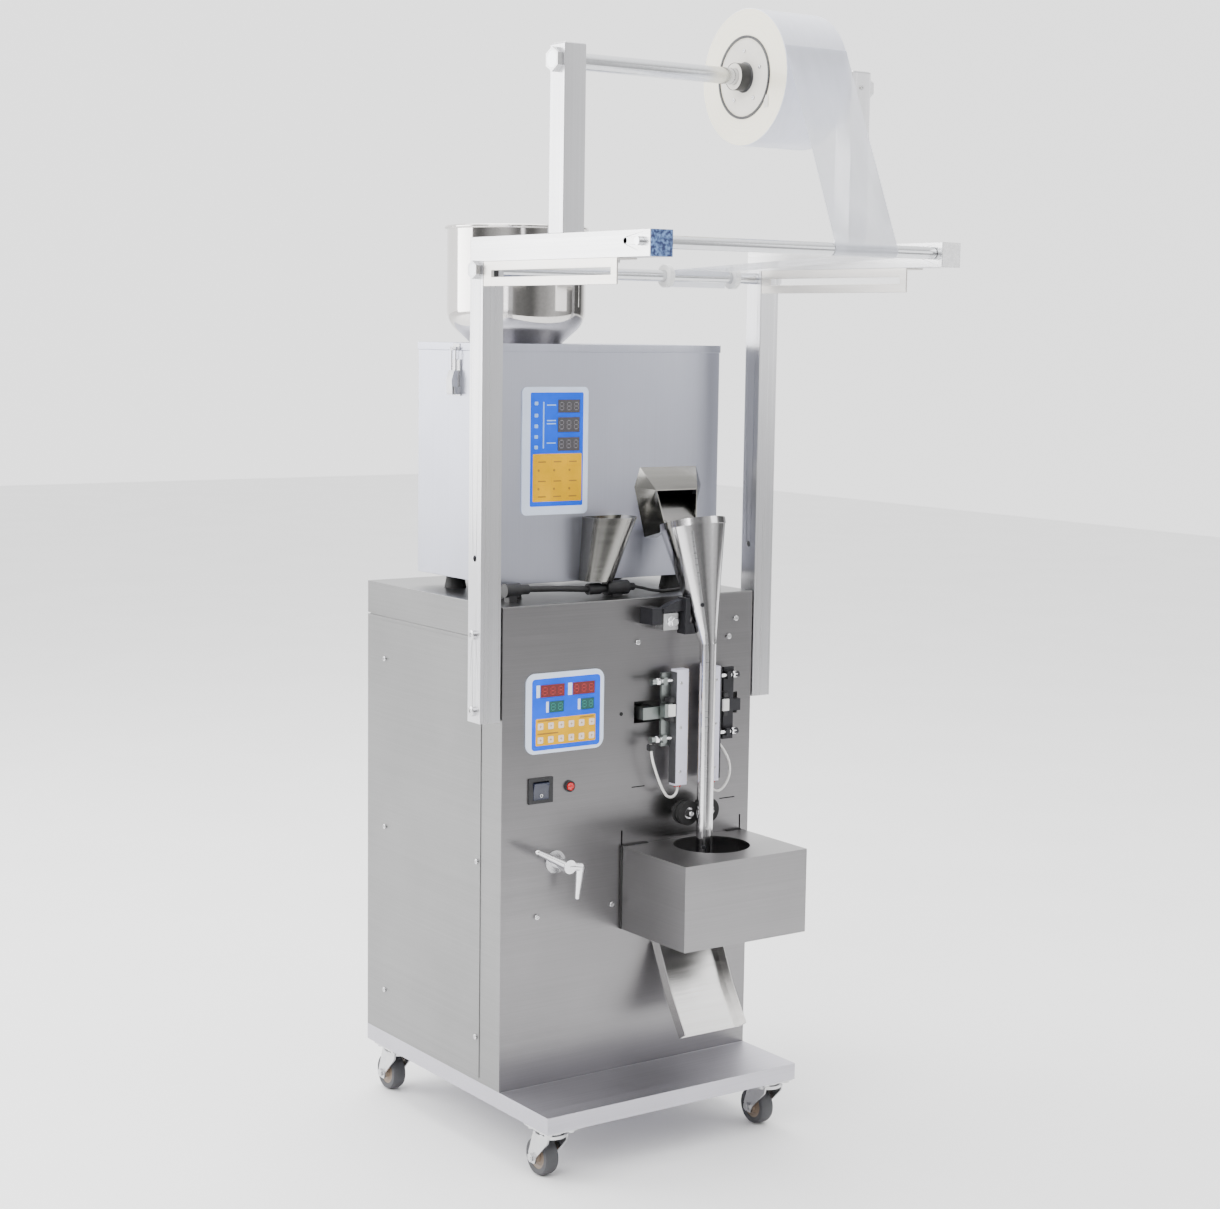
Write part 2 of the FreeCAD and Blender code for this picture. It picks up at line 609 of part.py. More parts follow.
def latch_lever():
    """Draw latch lever with its wire bail, hinged at its lower end."""
    x = BOX_X0
    y0, y1 = LATCH_Y - 7, LATCH_Y + 7
    lever = slab_y([(x - 4, 985), (x - 12, 984.5), (x - 13, 1004), (x - 9, 1016), (x - 4, 1016)], y0, y1)
    lever = lever.cut(rod_y(y0 - 1, y1 + 1, LATCH_PIN_X, LATCH_PIN_Z, 2.0 + RUN_FIT))
    wires = [rod((x - 6, y, 1014), (x - 6, y, 1045.2), 1.2) for y in (LATCH_Y - 5, LATCH_Y + 5)]
    wires.append(rod_y(LATCH_Y - 6.8, LATCH_Y + 6.8, x - 6, 1045.2, 1.3))
    return [fuse(lever, *wires)]


def latch_fixed():
    x = BOX_X0
    base = box(x - 2, x, LATCH_Y - 10, LATCH_Y + 10, 983, 1030)
    cheeks = [box(x - 10, x - 2, y, y + 1.5, 985, 995) for y in (LATCH_Y - 9.5, LATCH_Y + 8)]
    pin = rod_y(LATCH_Y - 9.5, LATCH_Y + 9.5, LATCH_PIN_X, LATCH_PIN_Z, 2.0)
    keeper = box(x - 9, x - 1, LATCH_Y - 3.5, LATCH_Y + 3.5, 1042.2, 1043.4)
    keeper_plate = box(x - 2, x - 1, LATCH_Y - 8, LATCH_Y + 8, 1042.2, 1051)
    return [fuse(base, *cheeks, pin), fuse(keeper_plate, keeper)]


# ---- forming tube and front gear ----------------------------------------------------------
def lean_point(s):
    """Point on the leaning funnel axis, s above the bend."""
    return V(TUBE_X, TUBE_Y + s * math.sin(LEAN), BEND_Z + s * math.cos(LEAN))


def forming_solid(extra):
    axis = V(0, math.sin(LEAN), math.cos(LEAN))
    cone = Part.makeCone(TUBE_R + extra, RIM_R + extra, CONE_H, lean_point(0), axis)
    band = Part.makeCylinder(RIM_R + extra, 9, lean_point(CONE_H), axis)
    joint = Part.makeSphere(TUBE_R + extra, lean_point(0))
    pipe = rod_z(342, BEND_Z, TUBE_X, TUBE_Y, TUBE_R + extra)
    return cone.fuse([band, joint, pipe])


def forming_tube():
    wall = 1.2
    axis = V(0, math.sin(LEAN), math.cos(LEAN))
    lip = Part.makeCylinder(RIM_R + 1.2, 9, lean_point(CONE_H), axis)
    cone_in = Part.makeCone(TUBE_R - wall, RIM_R - wall, CONE_H, lean_point(0), axis)
    mouth = Part.makeCylinder(RIM_R - wall, 12, lean_point(CONE_H - 0.01), axis)
    joint = Part.makeSphere(TUBE_R - wall, lean_point(0))
    pipe = rod_z(341, BEND_Z, TUBE_X, TUBE_Y, TUBE_R - wall)
    body = fuse(forming_solid(0), lip).cut(cone_in.fuse([mouth, joint, pipe]))
    return [body]


def tube_bracket():
    block = box(12, 29, -28, 0, 690, 712)
    reach = slab_y([(29, 705), (66, 707), (66, 724), (38, 716), (29, 711)], -30, -18)
    upright = box(60, 68, -36, -18, 676, 724)
    lug = box(68, 92, -36, -18, 676, 690)
    return [fuse(block, reach, upright, lug).cut(forming_solid(1.3))]


def photo_eye():
    body = box(31, 55, -27, -9, 682, 704)
    return [fuse(body, rod_y(-9, 0, 40, 692, 4), rod_x(55, 59.5, -18, 692, 5))]


def seal_bar(side):
    """White-jacketed heater bar; its brass nose faces the film seam."""
    nose = JAW_STROKE + 0.6
    x_in, x_out = TUBE_X + side * nose, TUBE_X + side * (nose + 3)
    a, b = sorted((x_in, x_out))
    strip = box(a, b, -23, -17, 476, 625)
    c, d = sorted((x_out, TUBE_X + side * (nose + 23)))
    body = box(c, d, -27, -13, 473, 628)
    long_edges = [e for e in body.Edges if abs(e.tangentAt(e.FirstParameter).z) > 0.99]
    return [fuse(body.makeFillet(1.5, long_edges), strip)]


def jaw_carrier(side):
    """Drive plate with two guide rods that carry the heater bar, and the arm through the panel."""
    def span(p, q):
        return tuple(sorted((TUBE_X + side * p, TUBE_X + side * q)))

    bar_face = JAW_STROKE + 0.6 + 23
    inner, outer, rod_end = (bar_face + 1, 53, 74) if side < 0 else (50, 67, 70)
    x0, x1 = span(inner, outer)
    parts = [box(x0, x1, -16, -12, 526, 624)]
    for z in JAW_PIN_ZS:
        a, b = span(bar_face, rod_end)
        parts.append(rod_x(a, b, -21, z, 2.5))
        c, d = span(rod_end - 7, rod_end)
        parts.append(rod_x(c, d, -21, z, 4.5))
        e, f = span(50, 56)
        parts.append(box(e, f, -25, -16, z - 5, z + 5))
    a, b = span(outer - 2, 81)
    parts.append(box(a, b, -14, -9, 563, 579))
    c, d = span(63, 81)
    parts.append(box(c, d, -14, 58, 563, 579))
    e, f = span(bar_face + 6, 55)
    parts.append(box(e, f, -27, -16, 566, 584))
    return [fuse(*parts)]


def heater_lead(side):
    """Silicone lead from the carrier's clip down and up into the heater bar's end."""
    if side < 0:
        route = [(18, -21, 531.5), (19, -21, 516), (24, -22, 499), (31, -22, 482), (35.2, -22, 473.2),
                 (39.6, -23, 465.4), (44.1, -23, 459.3), (51.3, -23, 456.9), (58.5, -22, 459.3),
                 (63, -21, 465.4), (63, -21, 473)]
    else:
        route = [(128, -20, 527), (138, -22, 514), (147, -23, 499), (150, -23, 483), (145, -23, 468.5),
                 (136.9, -22, 459.3), (129.7, -22, 456.9), (122.5, -21, 459.3), (118, -20, 465.4),
                 (118, -20, 473)]
    return [cord(route, LEAD_R, "heater lead")]


def gear(cx, cz, y0, y1, teeth, module, turned):
    """Spur gear with slim straight-sided teeth, so that the pair turns without touching."""
    pitch = teeth * module / 2
    root, tip = pitch - 1.25 * module, pitch + 0.8 * module
    step = 2 * math.pi / teeth
    outline = []
    for i in range(teeth):
        a = i * step + turned
        for frac, r in ((-0.26, root), (-0.10, tip), (0.10, tip), (0.26, root)):
            outline.append((cx + r * math.cos(a + frac * step), cz + r * math.sin(a + frac * step)))
    return slab_y(outline, y0, y1)


def pull_wheel(side):
    x = TUBE_X + side * PINCH_OFFSET
    tyre = rod_y(-32.5, -17, x, WHEEL_Z, PINCH_OFFSET - 0.4)
    groove = tyre.cut(rod_y(-27, -23, x, WHEEL_Z, PINCH_OFFSET + 2).cut(
        rod_y(-28, -22, x, WHEEL_Z, PINCH_OFFSET - 2.0)))
    turned = 0.0 if side < 0 else math.pi / GEAR_TEETH + math.pi
    parts = [groove, rod_y(-38, 60, x, WHEEL_Z, 5.0),
             gear(x, WHEEL_Z, 14, 24, GEAR_TEETH, 2.0, turned)]
    return [fuse(*parts)]


def jaw_guide_rods():
    """Rear plate, two guide rods and the front tie bar of the cross sealing jaws."""
    rear = box(CROSS_RODS[0] - 14, CROSS_RODS[1] + 14, -5, 0, CROSS_Z - 14, CROSS_Z + 14)
    tie = box(CROSS_RODS[0] - 12, CROSS_RODS[1] + 12, -132, -126, CROSS_Z - 12, CROSS_Z + 12)
    bars = [rod_y(-126, -5, x, CROSS_Z, 6.0) for x in CROSS_RODS]
    return [fuse(rear, tie, *bars)]


def cross_jaw(side):
    """Heater jaw that slides on the two guide rods; side -1 is the front one."""
    face = TUBE_Y + side * (CROSS_STROKE + 0.5)
    y0, y1 = sorted((face + side * 4, face + side * 24))
    block = box(CROSS_RODS[0] - 12, CROSS_RODS[1] + 12, y0, y1, CROSS_Z - 11, CROSS_Z + 11)
    for x in CROSS_RODS:
        block = block.cut(rod_y(y0 - 1, y1 + 1, x, CROSS_Z, 6.0 + RUN_FIT))
    a, b = sorted((face, face + side * 4))
    lips = [box(41, 141, a, b, CROSS_Z + dz, CROSS_Z + dz + 7) for dz in (-10, 3)]
    return [fuse(block, *lips)]


def guard_cover():
    """Box over the cross jaws, open towards the panel, with a round hole for the bag tube."""
    x0, x1, z0, z1 = GUARD_X0, GUARD_X1, GUARD_Z0, GUARD_Z1
    y0 = -GUARD_DEPTH
    t = 1.5
    cover = cut(box(x0, x1, y0, -0.3, z0, z1),
                box(x0 + t, x1 - t, y0 + t, 1, z0 - 1, z1 - t),
                rod_z(z1 - 5, z1 + 1, 95, -56, 51))
    hooks = []
    for xa in (x0 + 0.4, x1 - 0.4 - t):
        hooks.append(slab_x([(-0.5, z0 + 12), (5, z0 + 12), (5, z1 - 10), (-0.5, z1 - 10)], xa, xa + t))
    return [fuse(cover, *hooks)]


def discharge_chute():
    """Bent slide under the cross jaws, with upstanding side walls."""
    x0, x1 = CHUTE_X
    t = 1.5
    top, bend, end = (-1.0, 262.0), (-36.0, 190.0), (-68.0, 141.0)

    def lifted(p, q, h):
        dy, dz = q[0] - p[0], q[1] - p[1]
        n = math.hypot(dy, dz)
        return (dz / n * h, -dy / n * h)

    n1 = lifted(top, bend, 1.0)
    n2 = lifted(bend, end, 1.0)
    mid = ((n1[0] + n2[0]) / 2, (n1[1] + n2[1]) / 2)

    def raised(h):
        return [(top[0] + n1[0] * h, top[1] + n1[1] * h), (bend[0] + mid[0] * h, bend[1] + mid[1] * h),
                (end[0] + n2[0] * h, end[1] + n2[1] * h)]

    floor = slab_x(raised(0) + raised(t)[::-1], x0, x1)
    walls = [slab_x(raised(0) + raised(16)[::-1], x, x + t) for x in (x0, x1 - t)]
    flange = box(x0, x1, -1.5, 0, 258, 276)
    return [fuse(floor, *walls, flange).common(box(x0 - 1, x1 + 1, -200, 0, 90, 300))]


# ---- drive --------------------------------------------------------------------------------


def gear_motor():
    """Foot-mounted gear motor, with the bearing plate of the cam shaft."""
    gearbox = box(46, 136, 140, 210, CAM_Z - 45, CAM_Z + 45)
    motor = rod_y(210, 310, TUBE_X, CAM_Z, 38)
    foot = box(30, 152, 130, 300, CAB_Z0, CAB_Z0 + 6)
    stand = box(60, 122, 145, 205, CAB_Z0 + 6, CAM_Z - 45)
    plate = box(30, 152, 100, 108, CAB_Z0, CAM_Z + 34).cut(rod_y(99, 109, TUBE_X, CAM_Z, 8.0 + RUN_FIT))
    return [fuse(gearbox, motor), fuse(foot, stand), plate]


def cam_shaft():
    shaft = rod_y(20, 139.5, TUBE_X, CAM_Z, 8.0)
    cams = [rod_y(y, y + 12, TUBE_X + dx, CAM_Z, 30) for y, dx in ((34.0, 9.0), (64.0, -9.0))]
    return [fuse(shaft, *cams)]


# ---- controls -----------------------------------------------------------------------------
def keypads():
    return [rounded_plate(-165, -45, 531, 635, -2, 0, 13),
            rounded_plate(-136, -34, 832, 997, BOX_Y0 - 2, BOX_Y0, 7)]


def panel_fittings():
    """Black plastic: switch bezel, button collar, mains inlet, cable gland and plugs."""
    x, z = SWITCH_X, SWITCH_Z
    bezel = cut(box(x - 18.5, x + 18.5, -2.5, 0, z - 16.5, z + 16.5),
                box(x - 12, x + 12, -3, 1, z - 12, z + 12))
    well = cut(box(x - 13, x + 13, 0, 20, z - 12.5, z + 12.5),
               box(x - 12, x + 12, -1, 18.5, z - 12, z + 12))
    collar = rod_y(-3, 0, BUTTON_X, BUTTON_Z, 7.5).cut(rod_y(-4, 1, BUTTON_X, BUTTON_Z, 5.9))
    sleeve = rod_y(0, 16, BUTTON_X, BUTTON_Z, 6.2).cut(rod_y(-1, 14.5, BUTTON_X, BUTTON_Z, 5.5))
    inlet = box(-154, -126, 320, CAB_DEPTH, 140, 162).cut(box(-151, -129, 335, CAB_DEPTH + 1, 143, 159))
    gland = fuse(rod_x(-172, -150, CABLE_Y, CABLE_Z, 9.0), rod_x(-150, -136, CABLE_Y, CABLE_Z, 6.5),
                 box(-168, -156, CABLE_Y - 6, CABLE_Y + 6, CAB_Z1, CABLE_Z - 4))
    plug_a = fuse(rod_x(-43, -24, CABLE_Y, PLUG_Z, 7.5), rod_x(-24, -15, CABLE_Y, PLUG_Z, 5.5),
                  rod_x(-15, 20, CABLE_Y, PLUG_Z, 9.5), rod_x(20, 31, CABLE_Y, PLUG_Z, 5.0),
                  box(-6, 10, CABLE_Y - 5, CABLE_Y + 5, CAB_Z1, PLUG_Z - 4))
    return [fuse(bezel, well), fuse(collar, sleeve), inlet, gland, plug_a]


def signal_cable():
    thick = cord([(-136, CABLE_Y, CABLE_Z), (-106, CABLE_Y, CABLE_Z - 1), (-76, CABLE_Y, CABLE_Z - 2.6),
                  (-43, CABLE_Y, PLUG_Z)], CABLE_R, "signal cable")
    thin = cord([(31, CABLE_Y, PLUG_Z), (42, CABLE_Y - 1, 731.5), (56, CABLE_Y - 3, 727.5),
                 (72, CABLE_Y - 3, 725.2),
                 (90, CABLE_Y, 725.2), (110, CABLE_Y + 5, 725.2), (130, CABLE_Y + 12, 725.2)],
                THIN_R, "thin signal cable")
    return [thick, thin]


def rocker():
    x, z = SWITCH_X, SWITCH_Z
    shape = [(8, -4), (8, 4), (0.5, 11.0), (-4.6, 11.0), (-3.0, 0), (-4.6, -11.0), (0.5, -11.0)]
    body = slab_x([(y, z + h) for y, h in shape], x - 11.6, x + 11.6)
    body.rotate(V(x, 2, z), X_AXIS, 7.0)
    return [body]


def push_button():
    cap = rod_y(-7, 9, BUTTON_X, BUTTON_Z, 5.3)
    front = [e for e in cap.Edges if e.CenterOfMass.y < -6.9]
    return [cap.makeFillet(1.8, front)]


def clamp_lever():
    """Two-armed clamping lever on a stem through the panel."""
    x, z = LEVER_X, LEVER_Z
    y = -31.0
    stem = rod_y(-30, -3.2, x, z, 7.0).fuse(rod_y(-3.3, 14, x, z, 5.0))
    hub = rod_y(-37, -25, x, z, 9.0)
    tip_a = (x - 46, y, z + 24)
    elbow = (x + 19, y, z - 3)
    tip_b = (x + 15, y, z - 43)
    arm_a = rod((x, y + 0.15, z), tip_a, 5.9, 3.4)
    arm_b = rod((x, y, z), elbow, 6.2)
    arm_c = rod(elbow, tip_b, 6.2, 3.2)
    return [fuse(stem, hub, arm_a, ball(*tip_a, 3.5), arm_b, ball(*elbow, 6.2), arm_c, ball(*tip_b, 3.2))]


# ---- casters ------------------------------------------------------------------------------
def caster_plates():
    out = []
    for cx, cy in CASTER_XY.values():
        plate = box(cx - 24, cx + 24, cy - 26, cy + 26, CASTER_H - 2.5, CASTER_H)
        race = rod_z(62, CASTER_H - 2.5, cx, cy, 17)
        whole = fuse(plate, race)
        for dx, dy in caster_bolt_offsets():
            whole = whole.cut(rod_z(60, CASTER_H + 1, cx + dx, cy + dy, AXLE_R))
        out.append(whole)
    return out


def caster_fork(cx, cy):
    """Swivelling fork with the axle bolt and its nuts."""
    crown = rod_z(57.5, 61.6, cx, cy, 20)
    ay = cy + WHEEL_TRAIL
    legs = []
    for x0 in (cx - 15.5, cx + 13.0):
        outline = [(cy - 16, 61), (cy + 18, 61), (ay + 9, WHEEL_R + 4), (ay + 5, WHEEL_R - 8),
                   (ay - 5, WHEEL_R - 8), (ay - 9, WHEEL_R + 2), (cy - 14, 52)]
        legs.append(slab_x(outline, x0, x0 + 2.5))
    bridge = box(cx - 15.5, cx + 15.5, cy - 12, cy + 12, 57.5, 61)
    axle = rod_x(cx - 20, cx + 20, ay, WHEEL_R, AXLE_R)
    nuts = [hex_prism((x, ay, WHEEL_R), (1, 0, 0), 10, 4) for x in (cx - 19.5, cx + 15.5)]
    return [fuse(crown, bridge, axle, *legs, *nuts)]


def caster_wheel(cx, cy):
    ay = cy + WHEEL_TRAIL
    bore = rod_x(cx - 20, cx + 20, ay, WHEEL_R, AXLE_R + RUN_FIT)
    tyre = rod_x(cx - 10, cx + 10, ay, WHEEL_R, WHEEL_R)
    rims = [e for e in tyre.Edges if e.Curve.TypeId == "Part::GeomCircle"]
    tyre = tyre.makeFillet(4.0, rims)
    hub = rod_x(cx - 12.4, cx + 12.4, ay, WHEEL_R, 8.0)
    return [fuse(tyre, hub).cut(bore)]


# ---- fasteners ----------------------------------------------------------------------------
def hardware():
    """Bolts, nuts, screws, spacers and the fixed halves of the draw latch."""
    out = latch_fixed()
    for s in (-1, 1):
        for z in BOLT_ZS:
            a, b = sorted((s * CAB_HALF, s * (POST_OUT + 1)))
            bolt = rod_x(a, b, 15, z, 4.0)
            c, d = sorted((s * POST_OUT, s * (POST_OUT + 4)))
            e, f = sorted((s * CAB_HALF, s * POST_IN))
            out.append(fuse(bolt, rod_x(c, d, 15, z, 6.5), rod_x(e, f, 15, z, 8.0)))
        for y, z, r, bore in ((SHAFT_Y, SHAFT_Z, 14.0, SHAFT_R), (ROD_Y, ROD_Z, 11.0, ROD_R)):
            nut = hex_prism((s * POST_OUT, y, z), (s, 0, 0), 2 * r * 0.88, 8)
            out.append(nut.cut(rod_x(-260, 260, y, z, bore)))
    collar = rod_x(POST_IN - 13, POST_IN, SHAFT_Y, SHAFT_Z, 13.5)
    out.append(collar.cut(rod_x(180, 210, SHAFT_Y, SHAFT_Z, SHAFT_R)))
    for s in (-1, 1):
        for y in (-262.0, -180.0, -105.0, -42.0):
            x = s * (POST_IN + TUBE / 2)
            out.append(rod_z(ARM_Z0 - 5.5, ARM_Z0 - 2, x, y, 4.5))
    flange = rod_y(-3, 0, LEVER_X, LEVER_Z, 15.0)
    out.append(flange.cut(rod_y(-4, 1, LEVER_X, LEVER_Z, 5.0 + RUN_FIT)))
    for x, z in ((8.4, 665.0), (171.0, 687.0), (159.6, 663.0), (-27.3, 318.0), (-145.5, 317.0)):
        out.append(fuse(rod_y(-2.2, 0, x, z, 3.6)))
    for y, z in ((299, 620), (298, 386), (298, 154), (56, 620), (56, 386), (56, 152)):
        out.append(rod_x(-CAB_HALF - 2.6, -CAB_HALF - 1, y, z, 3.4))
    for cx, cy in CASTER_XY.values():
        for dx, dy in caster_bolt_offsets():
            x, y = cx + dx, cy + dy
            z = CASTER_H - 2.5
            out.append(fuse(rod_z(z - 3, z, x, y, 5.0), rod_z(z - 1, CASTER_H + 6, x, y, AXLE_R),
                            rod_z(CASTER_H + SHEET, CASTER_H + SHEET + 3, x, y, 5.0)))
    return out


# ---- export -------------------------------------------------------------------------------
NODES = {
    "base_tray": base_tray, "front_panel": front_panel, "side_panels": side_panels,
    "back_panel": back_panel, "top_cap": top_cap,
    "lower_posts": lower_posts, "arms": arms, "roll_posts": roll_posts,
    "slotted_rails": slotted_rails, "roller_block": roller_block, "fixed_shafts": fixed_shafts,
    "film_collars": film_collars, "film_web": film_web, "hardware": hardware,
    "weigher_casing": weigher_casing, "weigher_lid": weigher_lid, "weigher_feet": weigher_feet,
    "hopper": hopper, "vibrating_tray": vibrating_tray, "weigh_bucket": weigh_bucket,
    "front_funnel": front_funnel, "side_chute": side_chute, "forming_tube": forming_tube,
    "tube_bracket": tube_bracket, "photo_eye": photo_eye, "discharge_chute": discharge_chute,
    "jaw_guide_rods": jaw_guide_rods, "gear_motor": gear_motor, "keypads": keypads,
    "panel_fittings": panel_fittings, "signal_cable": signal_cable,
    "caster_plates": caster_plates, "bucket_flap": bucket_flap, "film_roll": film_roll,
    "core_chucks": core_chucks, "guide_roller": guide_roller, "cam_shaft": cam_shaft,
    "clamp_lever": clamp_lever, "rocker": rocker, "push_button": push_button,
    "latch_lever": latch_lever, "guard_cover": guard_cover,
}
for name, side in (("left", -1), ("right", 1)):
    NODES["seal_bar_" + name] = lambda side=side: seal_bar(side)
    NODES["jaw_carrier_" + name] = lambda side=side: jaw_carrier(side)
    NODES["heater_lead_" + name] = lambda side=side: heater_lead(side)
    NODES["pull_wheel_" + name] = lambda side=side: pull_wheel(side)
for name, side in (("front", -1), ("rear", 1)):
    NODES["cross_jaw_" + name] = lambda side=side: cross_jaw(side)
for corner, (caster_x, caster_y) in CASTER_XY.items():
    NODES["caster_fork_" + corner] = lambda x=caster_x, y=caster_y: caster_fork(x, y)
    NODES["caster_wheel_" + corner] = lambda x=caster_x, y=caster_y: caster_wheel(x, y)


def build():
    os.makedirs("parts", exist_ok=True)
    shapes = {}
    for node, make in NODES.items():
        solids = make()
        shape = solids[0] if len(solids) == 1 else Part.makeCompound(solids)
        if not shape.isValid():
            print("not valid:", node)
        shape.exportStep("parts/" + node + ".step")
        shapes[node] = shape
    print(len(shapes), "nodes")
    return shapes


build()
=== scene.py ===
"""Looks of the vertical form fill sealer: studio, materials, film, cables and fine parts."""

import math
import random

import bmesh
import bpy
from mathutils import Matrix, Vector


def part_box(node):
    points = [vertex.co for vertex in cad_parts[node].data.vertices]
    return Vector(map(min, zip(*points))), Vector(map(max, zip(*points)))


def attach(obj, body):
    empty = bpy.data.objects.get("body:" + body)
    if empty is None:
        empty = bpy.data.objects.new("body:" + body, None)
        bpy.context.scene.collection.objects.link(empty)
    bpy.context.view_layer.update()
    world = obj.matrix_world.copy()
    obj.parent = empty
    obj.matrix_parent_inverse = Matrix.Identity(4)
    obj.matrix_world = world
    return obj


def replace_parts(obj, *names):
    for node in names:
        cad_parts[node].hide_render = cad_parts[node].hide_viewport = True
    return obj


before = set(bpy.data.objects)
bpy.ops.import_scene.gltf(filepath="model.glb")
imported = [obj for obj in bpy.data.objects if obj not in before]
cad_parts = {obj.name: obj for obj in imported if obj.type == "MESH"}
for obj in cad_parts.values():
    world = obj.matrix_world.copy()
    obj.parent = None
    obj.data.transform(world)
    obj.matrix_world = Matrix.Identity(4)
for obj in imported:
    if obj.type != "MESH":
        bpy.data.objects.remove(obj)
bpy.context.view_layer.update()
MM = 0.001


def mm(*values):
    """Millimetres to metres."""
    return tuple(v * MM for v in values)


# ---- camera -------------------------------------------------------------------------------
CAMERA_AT = Vector((-1.694, -2.3654, 1.0705))
CAMERA_RIGHT = Vector((0.81980, -0.57254, 0.01404))
CAMERA_UP = Vector((0.05807, 0.10748, 0.99258))
camera = bpy.data.objects.new("camera", bpy.data.cameras.new("camera"))
bpy.context.scene.collection.objects.link(camera)
camera.data.lens = 66.16
camera.data.sensor_width = 36.0
back_way = CAMERA_RIGHT.cross(CAMERA_UP)
camera.matrix_world = Matrix((
    (CAMERA_RIGHT.x, CAMERA_UP.x, back_way.x, CAMERA_AT.x),
    (CAMERA_RIGHT.y, CAMERA_UP.y, back_way.y, CAMERA_AT.y),
    (CAMERA_RIGHT.z, CAMERA_UP.z, back_way.z, CAMERA_AT.z),
    (0, 0, 0, 1)))
bpy.context.scene.camera = camera


# ---- materials ----------------------------------------------------------------------------
def shader(name, color, rough, metal=0.0, coat=0.0, transmission=0.0, anisotropic=0.0):
    """A Principled material and its node tree, with the constant values set."""
    mat = bpy.data.materials.new(name)
    mat.use_nodes = True
    tree = mat.node_tree
    bsdf = tree.nodes["Principled BSDF"]
    bsdf.inputs["Base Color"].default_value = (*color, 1)
    bsdf.inputs["Metallic"].default_value = metal
    bsdf.inputs["Roughness"].default_value = rough
    bsdf.inputs["Coat Weight"].default_value = coat
    bsdf.inputs["Transmission Weight"].default_value = transmission
    bsdf.inputs["Anisotropic"].default_value = anisotropic
    return mat, tree, bsdf


def noise(tree, scale, stretch=(1, 1, 1), detail=4.0):
    """Noise over the object's own coordinates, stretched along the row's axes."""
    place = tree.nodes.new("ShaderNodeTexCoord")
    mapping = tree.nodes.new("ShaderNodeMapping")
    mapping.inputs["Scale"].default_value = stretch
    texture = tree.nodes.new("ShaderNodeTexNoise")
    texture.inputs["Scale"].default_value = scale
    texture.inputs["Detail"].default_value = detail
    tree.links.new(place.outputs["Object"], mapping.inputs["Vector"])
    tree.links.new(mapping.outputs["Vector"], texture.inputs["Vector"])
    return texture.outputs["Fac"]


def ramp(tree, value, low, high, start=0.35, end=0.65):
    """Colour ramp from low to high; plain numbers give greys."""
    node = tree.nodes.new("ShaderNodeValToRGB")
    node.color_ramp.elements[0].position = start
    node.color_ramp.elements[1].position = end
    for element, tone in zip(node.color_ramp.elements, (low, high)):
        element.color = (*tone, 1) if hasattr(tone, "__len__") else (tone, tone, tone, 1)
    tree.links.new(value, node.inputs["Fac"])
    return node.outputs["Color"]


def bump(tree, bsdf, value, strength, distance):
    """Relief added on top of any the surface already has."""
    node = tree.nodes.new("ShaderNodeBump")
    node.inputs["Strength"].default_value = strength
    node.inputs["Distance"].default_value = distance
    tree.links.new(value, node.inputs["Height"])
    previous = bsdf.inputs["Normal"].links
    if previous:
        tree.links.new(previous[0].from_socket, node.inputs["Normal"])
    tree.links.new(node.outputs["Normal"], bsdf.inputs["Normal"])


def scaled(color, k):
    """Colour made lighter or darker, held below full white."""
    return tuple(min(1.0, c * k) for c in color)


def multiply(tree, a, b):
    """Product of two colours."""
    node = tree.nodes.new("ShaderNodeMix")
    node.data_type = "RGBA"
    node.blend_type = "MULTIPLY"
    node.inputs["Factor"].default_value = 1.0
    tree.links.new(a, node.inputs["A"])
    tree.links.new(b, node.inputs["B"])
    return node.outputs["Result"]


def brushed(name, color, rough, stretch, contrast=0.035, relief=0.02):
    """Ground sheet: long fine streaks, broad handling marks, slight unevenness."""
    mat, tree, bsdf = shader(name, color, rough, metal=1.0, anisotropic=0.45)
    streak = noise(tree, 1.0, stretch, 3.0)
    cloud = noise(tree, 5.0, detail=3.0)
    tint = ramp(tree, streak, scaled(color, 1 - contrast), scaled(color, 1 + contrast))
    wear = ramp(tree, cloud, 0.90, 1.0)
    tree.links.new(multiply(tree, tint, wear), bsdf.inputs["Base Color"])
    gloss = noise(tree, 1.0, tuple(0.5 * s for s in stretch), 2.0)
    tree.links.new(ramp(tree, gloss, rough * 0.9, rough * 1.12), bsdf.inputs["Roughness"])
    bump(tree, bsdf, streak, relief, 0.0002)
    bump(tree, bsdf, noise(tree, 2.2, detail=1.0), 0.05, 0.002)
    return mat


def polished(name, color, rough, marks=0.12):
    """Buffed metal with faint wipe marks."""
    mat, tree, bsdf = shader(name, color, rough, metal=1.0)
    wipe = noise(tree, 14.0, (1, 1, 0.3), 5.0)
    tree.links.new(ramp(tree, wipe, rough, rough + marks, 0.45, 0.75), bsdf.inputs["Roughness"])
    fine = noise(tree, 260.0, detail=2.0)
    tree.links.new(ramp(tree, fine, scaled(color, 0.94), color), bsdf.inputs["Base Color"])
    bump(tree, bsdf, noise(tree, 9.0, detail=1.0), 0.06, 0.003)
    return mat


def moulded(name, color, rough, grain=900.0, spread=0.12, relief=0.12, coat=0.0, metal=0.0, shine=0.5):
    """Moulded or coated surface: fine grain, uneven tone, rubbed patches."""
    mat, tree, bsdf = shader(name, color, rough, metal=metal, coat=coat)
    bsdf.inputs["Specular IOR Level"].default_value = shine
    patch = noise(tree, 30.0, detail=4.0)
    tone = ramp(tree, patch, scaled(color, 1 - spread), scaled(color, 1 + spread))
    tree.links.new(tone, bsdf.inputs["Base Color"])
    tree.links.new(ramp(tree, patch, rough * 0.85, min(1.0, rough * 1.15)), bsdf.inputs["Roughness"])
    bump(tree, bsdf, noise(tree, grain, detail=2.0), relief, 0.0001)
    return mat


